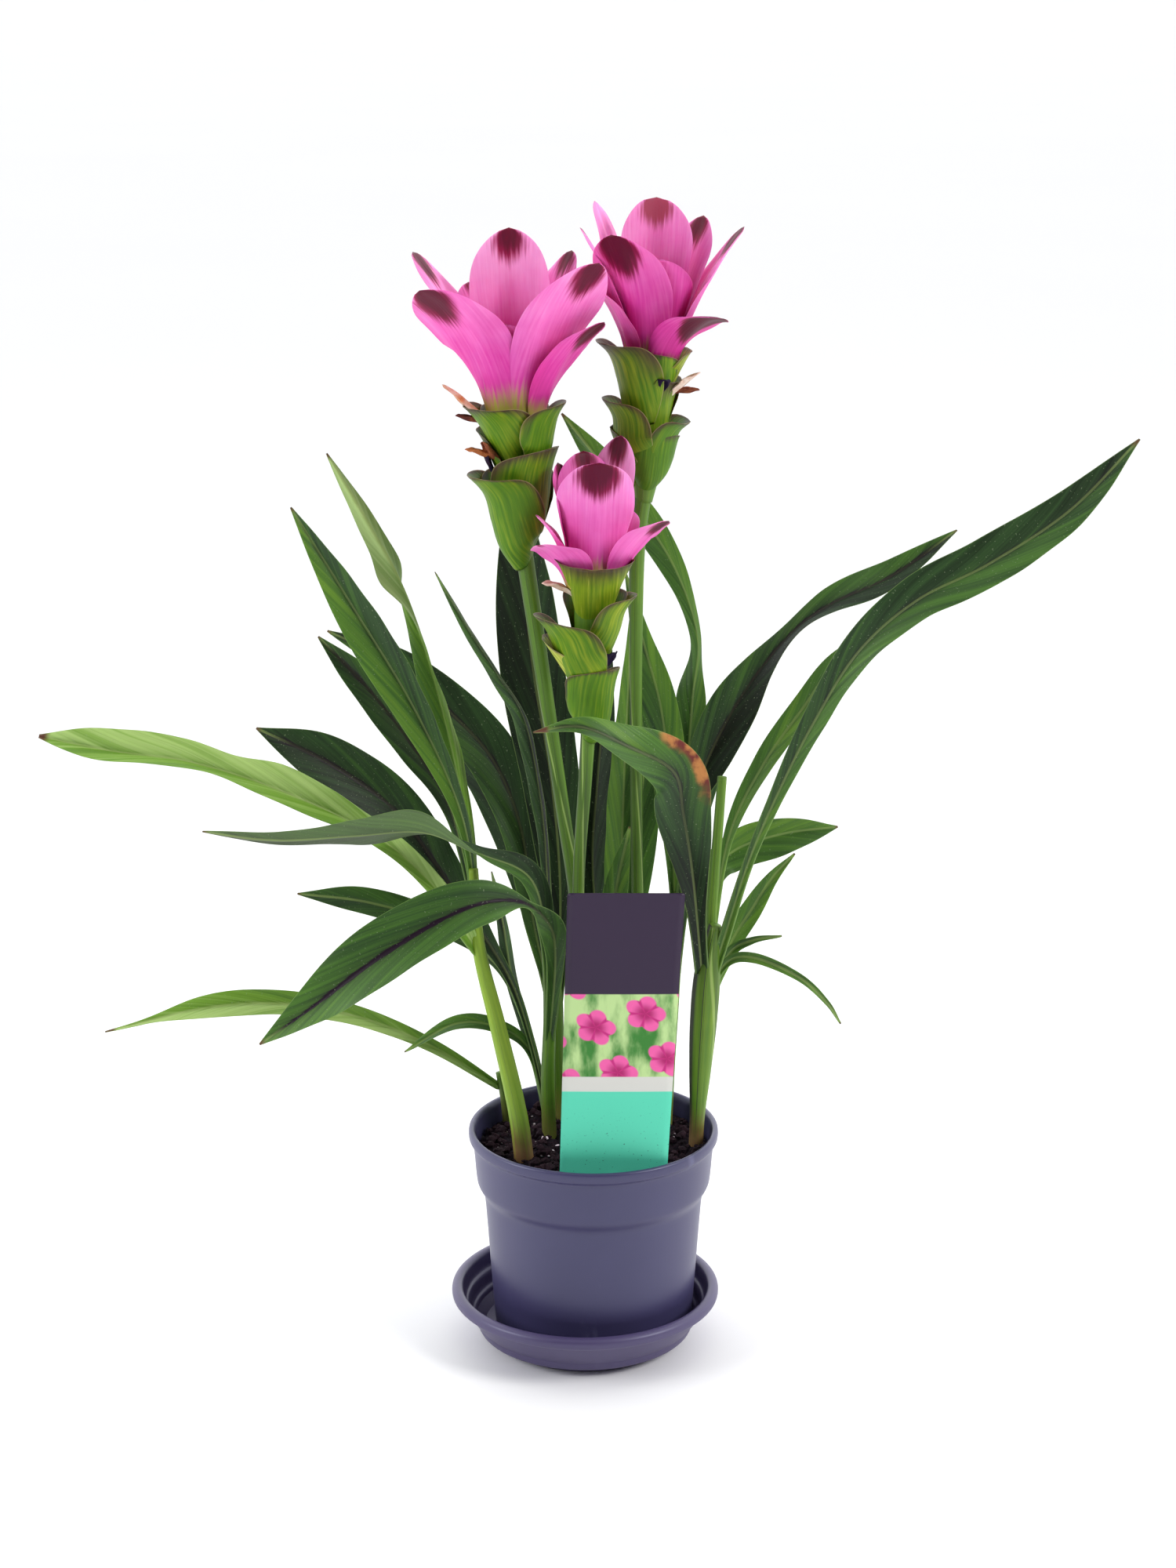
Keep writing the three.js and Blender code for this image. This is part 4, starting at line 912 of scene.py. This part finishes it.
shoot(
    "shoot_right", "lime_leaf", [
        stalk([[53, -2, 88], [54, -3, 118], [56, -5, 160], [58, -6, 190], [61, -8, 212]],
            [3.5, 3.6, 5.2, 6.4, 6.2, 3], tone=0.55, brown=1, dusk=0.9),
        stalk([[58, -2, 175], [60, 0, 221], [62, 2, 251], [64, 4, 281]], [2.8, 2.2]),
    ],
    leaf(
        [[58, -6, 180], [66, -10, 209], [76, -18, 247], [88, -26, 281], [103, -33, 316], [122, -40, 351],
        [147, -43, 375], [178, -42, 391], [214, -36, 414], [245, -26, 444]],
        [5, 5, 5, 7, 11, 15, 20, 24, 23, 16, 1], [0, 10, 10, 20, 30, 30, 30, 30, 30], fold=20,
        tone=[0.5, 0.36, 0.2], half_shade_and_flush=0.1, purple=0.4,
    ),
    leaf(
        [[55, -9, 189], [50, -20, 239], [45, -28, 272], [40, -38, 295], [19, -50, 310], [-2, -54, 320],
        [-23, -52, 317]],
        [6, 7, 10, 16, 23, 27, 27, 24, 17, 9, 1], [0, 0, 0, 0, 0, -10, -30, -50, -55, -55], fold=14,
        tone=[0.1, 0.04, 0.45, 0.55], purple=0.7, rust=(0.585, 0.12, 1), dry=0.03,
    ),
    leaf(
        [[59, 0, 195], [68, 14, 248], [84, 18, 283], [103, 20, 311], [116, 20, 331], [131, 18, 347]],
        [3, 3, 4, 7, 10, 12, 12, 9, 1], [20, 30, 20], tone=0.55,
    ),
    leaf(
        [[57, 0, 180], [60, 24, 222], [71, 32, 236], [94, 28, 246], [120, 20, 252]],
        [3, 3, 4, 9, 17, 21, 21, 14, 1], [0, 0, -10], tone=0.5, half_shade_and_flush=-0.08, purple=0,
    ),
    leaf(
        [[57, -2, 165], [69, 14, 194], [80, 18, 212], [89, 20, 226], [100, 22, 238]],
        [2, 4, 8, 11, 10, 6, 1], [0, 20], tone=0.55,
    ),
    leaf(
        [[57, -3, 170], [68, 4, 193], [79, 2, 201], [93, 0, 204]],
        [2, 4, 6, 5, 3, 1], [0, 30], tone=0.5,
    ),
    leaf(
        [[57, -4, 170], [66, -6, 192], [79, -14, 198], [100, -22, 191], [113, -27, 180], [119, -30, 171]],
        [2, 3, 5, 5, 4, 3, 1], [0, 30], tone=0.5,
    ),
)

# Flower spikes
# Each spike is a smooth round stem, green bracts that stand round its upper part like pouches
# with a dark flared rim, and a crown of long pink bracts with dark tips. All grow from the stem.


def oval(t, base, widest, point):
    """A bract's share of its greatest width: a quarter sine up from the base, a rounded fall to the tip."""
    up = base + (1 - base) * np.sin(np.pi / 2 * np.clip(t / widest, 0, 1))
    down = np.clip(1 - np.clip((t - widest) / (1 - widest), 0, 1) ** 2.2, 0, 1) ** point
    return np.where(t < widest, up, down)


def bract(
    bearing, height, length, width, leans, start, turn=0.0, blunt=False, dark=0.18, fade=0.0, tone=0.5,
):
    """A bract's numbers, in mm and degrees: where it leaves the spike, its size, leans and colours."""
    return dict(
        bearing=np.radians(bearing), height=height, length=length, width=width, leans=np.radians(leans),
        start=start, turn=np.radians(turn), blunt=blunt, dark=dark, fade=fade, tone=tone,
    )


def on_axis(foot, top, heights):
    """Points on a spike's axis, at heights in mm above its foot."""
    foot, top = np.array(foot, float), np.array(top, float)
    return foot + np.outer(heights / (top[2] - foot[2]), top - foot)


def bract_sheet(foot, top, spec, wrap, base, widest, point, flare, columns, crease=0.28):
    """A bract: it leaves the spike's axis at its height and leans out more and more towards its tip.

    Its path is four strides, each of a quarter of its length, whose leans are read from its evenly
    spaced stops. Its section is a circle's part round the axis, times the wrap share, which goes
    from the first number at the base to the second at the tip.
    """
    strides = 4
    outward = np.array([np.cos(spec["bearing"]), np.sin(spec["bearing"]), 0])
    stops = np.linspace(0, strides, len(spec["leans"]))
    lean = np.interp(np.arange(strides) + 0.5, stops, spec["leans"])
    stride = spec["length"] / strides
    reach = spec["start"] + np.concatenate([[0], np.cumsum(stride * np.sin(lean))])
    rise = spec["height"] + np.concatenate([[0], np.cumsum(stride * np.cos(lean))])
    path = on_axis(foot, top, rise) + outward * reach[:, None]
    row_step = 1.3
    t = np.linspace(0, 1, max(24, int(spec["length"] / row_step)))
    v = np.sin(np.pi / 2 * np.linspace(-1, 1, columns))
    side = np.abs(v)
    half = np.maximum(spec["width"] / 2 * oval(t, base, widest, point), 0.12)
    half = np.minimum(half, 2.2 * spline(reach, t))
    turn = spec["turn"] * np.clip(t * 2, 0, 1)
    hug = wrap[0] + (wrap[1] - wrap[0]) * step(t, 0.1, 0.9)
    bend = -half / spline(reach, t) * hug
    phase = chance.uniform(0, 2 * np.pi, 5)
    folds = crease * np.sin(v * 7 + phase[0] + t[:, None] * 2) * np.sin(np.pi * t)[:, None]
    rim = np.minimum((1 - side) * half[:, None], (1 - t[:, None]) * spec["length"])
    curl = flare * np.exp(-rim / 2.2) * step(t, 0.25, 0.6)[:, None]
    beat = spec["length"] / 2.3
    swing = np.sin(2 * np.pi * t[:, None] * spec["length"] / beat + np.where(v < 0, phase[1], phase[2]))
    ripple = 0.5 * swing * side ** 3 * step(t, 0.3, 0.7)[:, None] * step(1 - t, 0, 0.1)[:, None]
    thick = 0.55 * np.sqrt(np.clip(1 - side ** 4, 0, 1)) + 0 * half[:, None]
    marks = {
        "run": t[:, None], "v": v, "off": v * half[:, None], "along": t[:, None] * spec["length"],
        "rim": rim, "dark": spec["dark"], "fade": spec["fade"], "tone": spec["tone"],
        "seed": chance.uniform(0, 100),
    }
    return blade(
        path, outward, turn, t, v, half, 0 * t, bend, folds + curl + ripple, thick, marks,
    )


def bract_finish(name, spread, **constants):
    """A bract's finish with its marks, its lengthwise streaks and its clouds."""
    made = Finish(name, **constants)
    at = made.marks("run v off along rim dark fade tone seed")
    streaks = made.noise(1.0, 3, place=made.vector(at.off * spread, at.along * 0.05, at.seed))
    return made, at, streaks, made.noise(45, 3)


petal, at, streaks, clouds = bract_finish(
    "pink_petal", 0.9, Specular_IOR_Level=0.25, Subsurface_Weight=0.12, Subsurface_Scale=0.004,
)
# The ramp deepens towards each bract's base: partly the bract's own deeper magenta, partly painted shade
# where the bracts crowd at the crown's heart.
petal.tone = petal.ramp(
    at.tone + (streaks - 0.5) * 0.32 + (clouds - 0.5) * 0.5 + (0.45 - at.run) * 0.5,
    (0, 250, 166, 222), (0.35, 236, 112, 192), (0.65, 214, 56, 156), (1, 176, 18, 112),
)
petal.coat(1 - petal.smooth(at.run + (streaks - 0.5) * 0.2, 0.04, 0.24), colour(176, 166, 70))
tip = at.run + at.dark * (1.12 - abs(at.v) ** 1.5) + (streaks - 0.5) * 0.16
deep = petal.smooth(tip + (clouds - 0.5) * 0.2, 1.0, 1.16)
maroon = petal.mixed(deep, colour(150, 22, 80), colour(84, 6, 42))
petal.coat(petal.smooth(tip, 0.98, 1.09), petal.mixed(at.fade, maroon, colour(158, 66, 92)))
petal.bump(streaks * 0.6 + clouds * 0.4, 0.4, 0.6)
petal_skin = petal.paint(0.5 + clouds * 0.12)

pouch, at, streaks, clouds = bract_finish(
    "green_bract", 0.8, Specular_IOR_Level=0.22, Subsurface_Weight=0.06, Subsurface_Scale=0.003,
)
pouch.tone = pouch.ramp(
    at.tone + (streaks - 0.5) * 0.9 + (clouds - 0.5) * 0.3,
    (0, 36, 74, 10), (0.5, 80, 122, 14), (0.82, 134, 154, 30), (1, 190, 192, 84),
)
to_rim = (at.rim + (streaks - 0.5) * 4) / (at.dark * 34 + 0.1)
dark_rim = (1 - pouch.smooth(to_rim, 0.0, 1.0)) * pouch.smooth(at.run, 0.35, 0.75)
pouch.coat(dark_rim * 0.9, pouch.mixed(clouds, colour(34, 22, 30), colour(84, 44, 50)))
pouch.coat((1 - pouch.smooth(at.rim, 0.25, 0.6)) * 0.55, colour(152, 140, 92))
pouch.bump(streaks, 0.35, 0.7)
pouch_skin = pouch.paint(0.45 + clouds * 0.12)

husk = Finish("withered_flower", Roughness=0.8, Specular_IOR_Level=0.25)
crumple = husk.noise(260, 4)
husk.tone = husk.ramp(
    husk.marks("tone").tone + (crumple - 0.5) * 0.5,
    (0, 24, 8, 44), (0.4, 96, 44, 36), (0.7, 198, 116, 66), (1, 236, 216, 200),
)
husk.bump(crumple, 1.2)
husk_skin = husk.paint()


def flower_spike(name, foot, top, core, pink_from, stem, radii, green, pink, withered):
    """One spike: the stem and its swollen top, the green bracts, the pink crown, and withered bits."""
    core_path = on_axis(foot, top, np.linspace(0, pink_from, 4))
    crown_path = on_axis(foot, top, pink_from + np.array([0.3, 12, 24]))
    stalks = [
        stalk(stem, radii, tone=0.45, brown=0.3, dusk=0.4, ribs=0.02),
        stalk(core_path, core, brown=0.0, dusk=0.0, ribs=0.0),
    ]
    heart = [stalk(crown_path, [8, 6, 3], tone=0.6, brown=0.0, dusk=0.0, ribs=0.0)]
    pouches = [
        bract_sheet(
            foot, top, one, wrap=(1.0, 0.85), base=0.6, widest=0.6, point=0.62, flare=0.3, columns=35,
        )
        for one in green
    ]
    petals = [
        bract_sheet(
            foot, top, one, wrap=(0.95, 0.35), base=0.6, widest=0.55,
            point=0.5 if one["blunt"] else 0.62, flare=0.5, columns=27, crease=0.55,
        )
        for one in pink
    ]
    shreds = [
        bract_sheet(
            foot, top, one, wrap=(0.5, 0.6), base=0.5, widest=0.5, point=0.5, flare=0.8, columns=15,
            crease=1.1,
        )
        for one in withered
    ]
    green_node, pink_node = "flower_stem_" + name, "flower_" + name
    made = [
        (mesh_piece(green_node + "_stalk", stalks, stem_skin), green_node, "green_bract"),
        (mesh_piece(green_node + "_bracts", pouches, pouch_skin), green_node, "green_bract"),
        (mesh_piece(green_node + "_withered", shreds, husk_skin), green_node, "green_bract"),
        (mesh_piece(pink_node + "_core", heart, stem_skin), pink_node, "pink_bract"),
        (mesh_piece(pink_node + "_petals", petals, petal_skin), pink_node, "pink_bract"),
    ]
    for piece, node, slot_name in made:
        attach(piece, "root")
        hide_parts(node)


flower_spike(
    "left", foot=[-28, 0, 384], top=[-35, 0, 533], core=[4, 8, 9, 8.6], pink_from=66,
    stem=[[2, 19, 88], [-2, 2, 161], [-4, 4, 216], [-10, 4, 262], [-19, 2, 327], [-28, 0, 390]],
    radii=[3, 3.2, 3.2, 3.4, 4],
    green=[
        bract(210, -4, 50, 54, [42, 14, 12, 54], 4, dark=0.12, tone=0.5),
        bract(95, 2, 44, 44, [36, 10, 40], 4),
        bract(-34, 6, 50, 56, [32, 12, 8, 26], 5, dark=0.26, tone=0.55),
        bract(130, 28, 36, 40, [10, 16, 36], 7),
        bract(214, 36, 41, 50, [16, 24, 28, 48], 5, dark=0.2, tone=0.6),
        bract(-15, 45, 31, 42, [30, 12, 18, 42], 12, dark=0.16, tone=0.5),
        bract(95, 44, 30, 40, [10, 40], 8),
    ],
    pink=[
        bract(85, 72, 77, 42, [-5, 5], 12, dark=0.2, tone=0.3),
        bract(165, 66, 80, 30, [8, 39], 12, blunt=True, dark=0.24, tone=0.35),
        bract(40, 66, 77, 30, [4, 34], 12, dark=0.2, tone=0.5),
        bract(125, 66, 62, 30, [4, 36], 12, dark=0.12),
        bract(210, 66, 69, 44, [5, 52], 12, turn=-22, dark=0.32, tone=0.55),
        bract(-26, 66, 79, 43, [8, 42], 12, turn=22, dark=0.26, tone=0.45),
        bract(-12, 63, 57, 34, [12, 54], 12, turn=14, dark=0.34, tone=0.65),
        bract(262, 66, 44, 36, [-7, 18], 12, dark=0.0, tone=0.7),
        bract(75, 65, 46, 30, [6, 56], 12, dark=0.15),
    ],
    withered=[
        bract(196, 62, 29, 9, [40, 50], 12, tone=0.8),
        bract(196, 46, 17, 8, [50, 80], 9, tone=0.65),
        bract(208, 46, 13, 9, [50, 20], 9, tone=0.5),
        bract(190, 40, 13, 10, [30, 10, 60], 11, tone=0.0),
        bract(186, 63, 14, 5, [60, 80], 14, tone=0.4),
    ],
)
flower_spike(
    "right", foot=[27, 20, 408], top=[34, 20, 545], core=[4, 8, 8.6, 8.4], pink_from=62,
    stem=[[29, 23, 88], [27, 20, 155], [25, 22, 219], [24, 22, 300], [24, 20, 381], [27, 20, 414]],
    radii=[2.8, 2.8, 2.8, 3, 4],
    green=[
        bract(-66, 5, 30, 50, [54, 18, 8, 12], 4, dark=0.14, tone=0.45),
        bract(150, 4, 34, 44, [46, 12, 24], 4),
        bract(-6, 14, 26, 38, [12, 8, 22, 62], 10, dark=0.14, tone=0.45),
        bract(194, 12, 41, 46, [44, 26, 4, 50], 5, dark=0.18, tone=0.6),
        bract(90, 26, 34, 40, [8, 12, 36], 8),
        bract(300, 24, 33, 46, [6, 6, 6, 24], 8, dark=0.34, tone=0.62),
        bract(208, 36, 43, 46, [14, 14, 22, 58], 10, dark=0.42, tone=0.6),
        bract(30, 44, 28, 36, [8, 36], 8, dark=0.1, tone=0.8),
        bract(255, 50, 20, 36, [6, 12], 11, dark=0.1, tone=0.55),
    ],
    pink=[
        bract(100, 70, 67, 38, [-6, 3], 11, blunt=True, dark=0.2, fade=0.9, tone=0.4),
        bract(150, 65, 74, 19, [6, 30], 11, dark=0.0, tone=0.3),
        bract(182, 63, 67, 22, [7, 36], 11, dark=0.12, tone=0.5),
        bract(45, 65, 66, 28, [3, 28], 11, dark=0.25, tone=0.5),
        bract(224, 63, 64, 38, [-1, 36], 11, turn=-18, dark=0.36, tone=0.6),
        bract(6, 62, 69, 26, [9, 38], 11, dark=0.3, tone=0.45),
        bract(275, 64, 48, 36, [-6, 14], 11, dark=0.0, tone=0.75),
        bract(-36, 59, 42, 34, [0, 88], 11, turn=10, dark=0.6, tone=0.7),
        bract(195, 62, 42, 26, [6, 44], 11, dark=0.1, tone=0.5),
        bract(100, 62, 46, 32, [7, 52], 11, dark=0.15),
    ],
    withered=[
        bract(-14, 46, 21, 12, [30, 60], 8, tone=0.95),
        bract(-6, 50, 14, 6, [70, 90], 9, tone=0.5),
        bract(290, 52, 9, 8, [20, 60], 12, tone=-0.1),
    ],
)
flower_spike(
    "low", foot=[2, -20, 312], top=[6, -20, 442], core=[3.4, 6.5, 8.2, 8.4], pink_from=66,
    stem=[[2, 9, 88], [-2, -10, 166], [-3, -14, 233], [0, -18, 284], [2, -20, 318]],
    radii=[2.7, 2.7, 2.8, 3.4],
    green=[
        bract(-44, -8, 38, 48, [42, 10, 4, 18], 3.5, dark=0.1, tone=0.5),
        bract(165, 12, 34, 36, [14, 30, 34, 40], 6, dark=0.1, tone=0.9),
        bract(212, 12, 47, 48, [24, 26, 22, 48], 6, dark=0.16, tone=0.6),
        bract(-12, 27, 38, 38, [28, 22, 12, 46], 5, dark=0.14, tone=0.65),
        bract(80, 30, 34, 40, [8, 12, 40], 7),
        bract(268, 43, 36, 58, [8, 14, 26, 40], 6.5, dark=0.4, tone=0.75),
    ],
    pink=[
        bract(60, 69, 62, 24, [-3, 18], 12, dark=0.25, tone=0.3),
        bract(115, 68, 56, 34, [-6, 12], 12, dark=0.2, tone=0.6),
        bract(152, 67, 53, 24, [-1, 18], 12, dark=0.2, tone=0.6),
        bract(275, 68, 54, 42, [-3, -6], 12, blunt=True, dark=0.3, tone=0.4),
        bract(186, 66, 36, 24, [4, 46], 12, dark=0.1, tone=0.5),
        bract(214, 64, 31, 30, [7, 70], 12, turn=-16, dark=0.08, tone=0.45),
        bract(-14, 65, 39, 30, [8, 60], 12, turn=16, dark=0.3, tone=0.5),
        bract(70, 65, 38, 30, [5, 54], 12, dark=0.12),
    ],
    withered=[
        bract(-40, 29, 9, 9, [10, 50], 9, tone=-0.1),
        bract(190, 60, 17, 8, [40, 86], 9, tone=0.9),
    ],
)
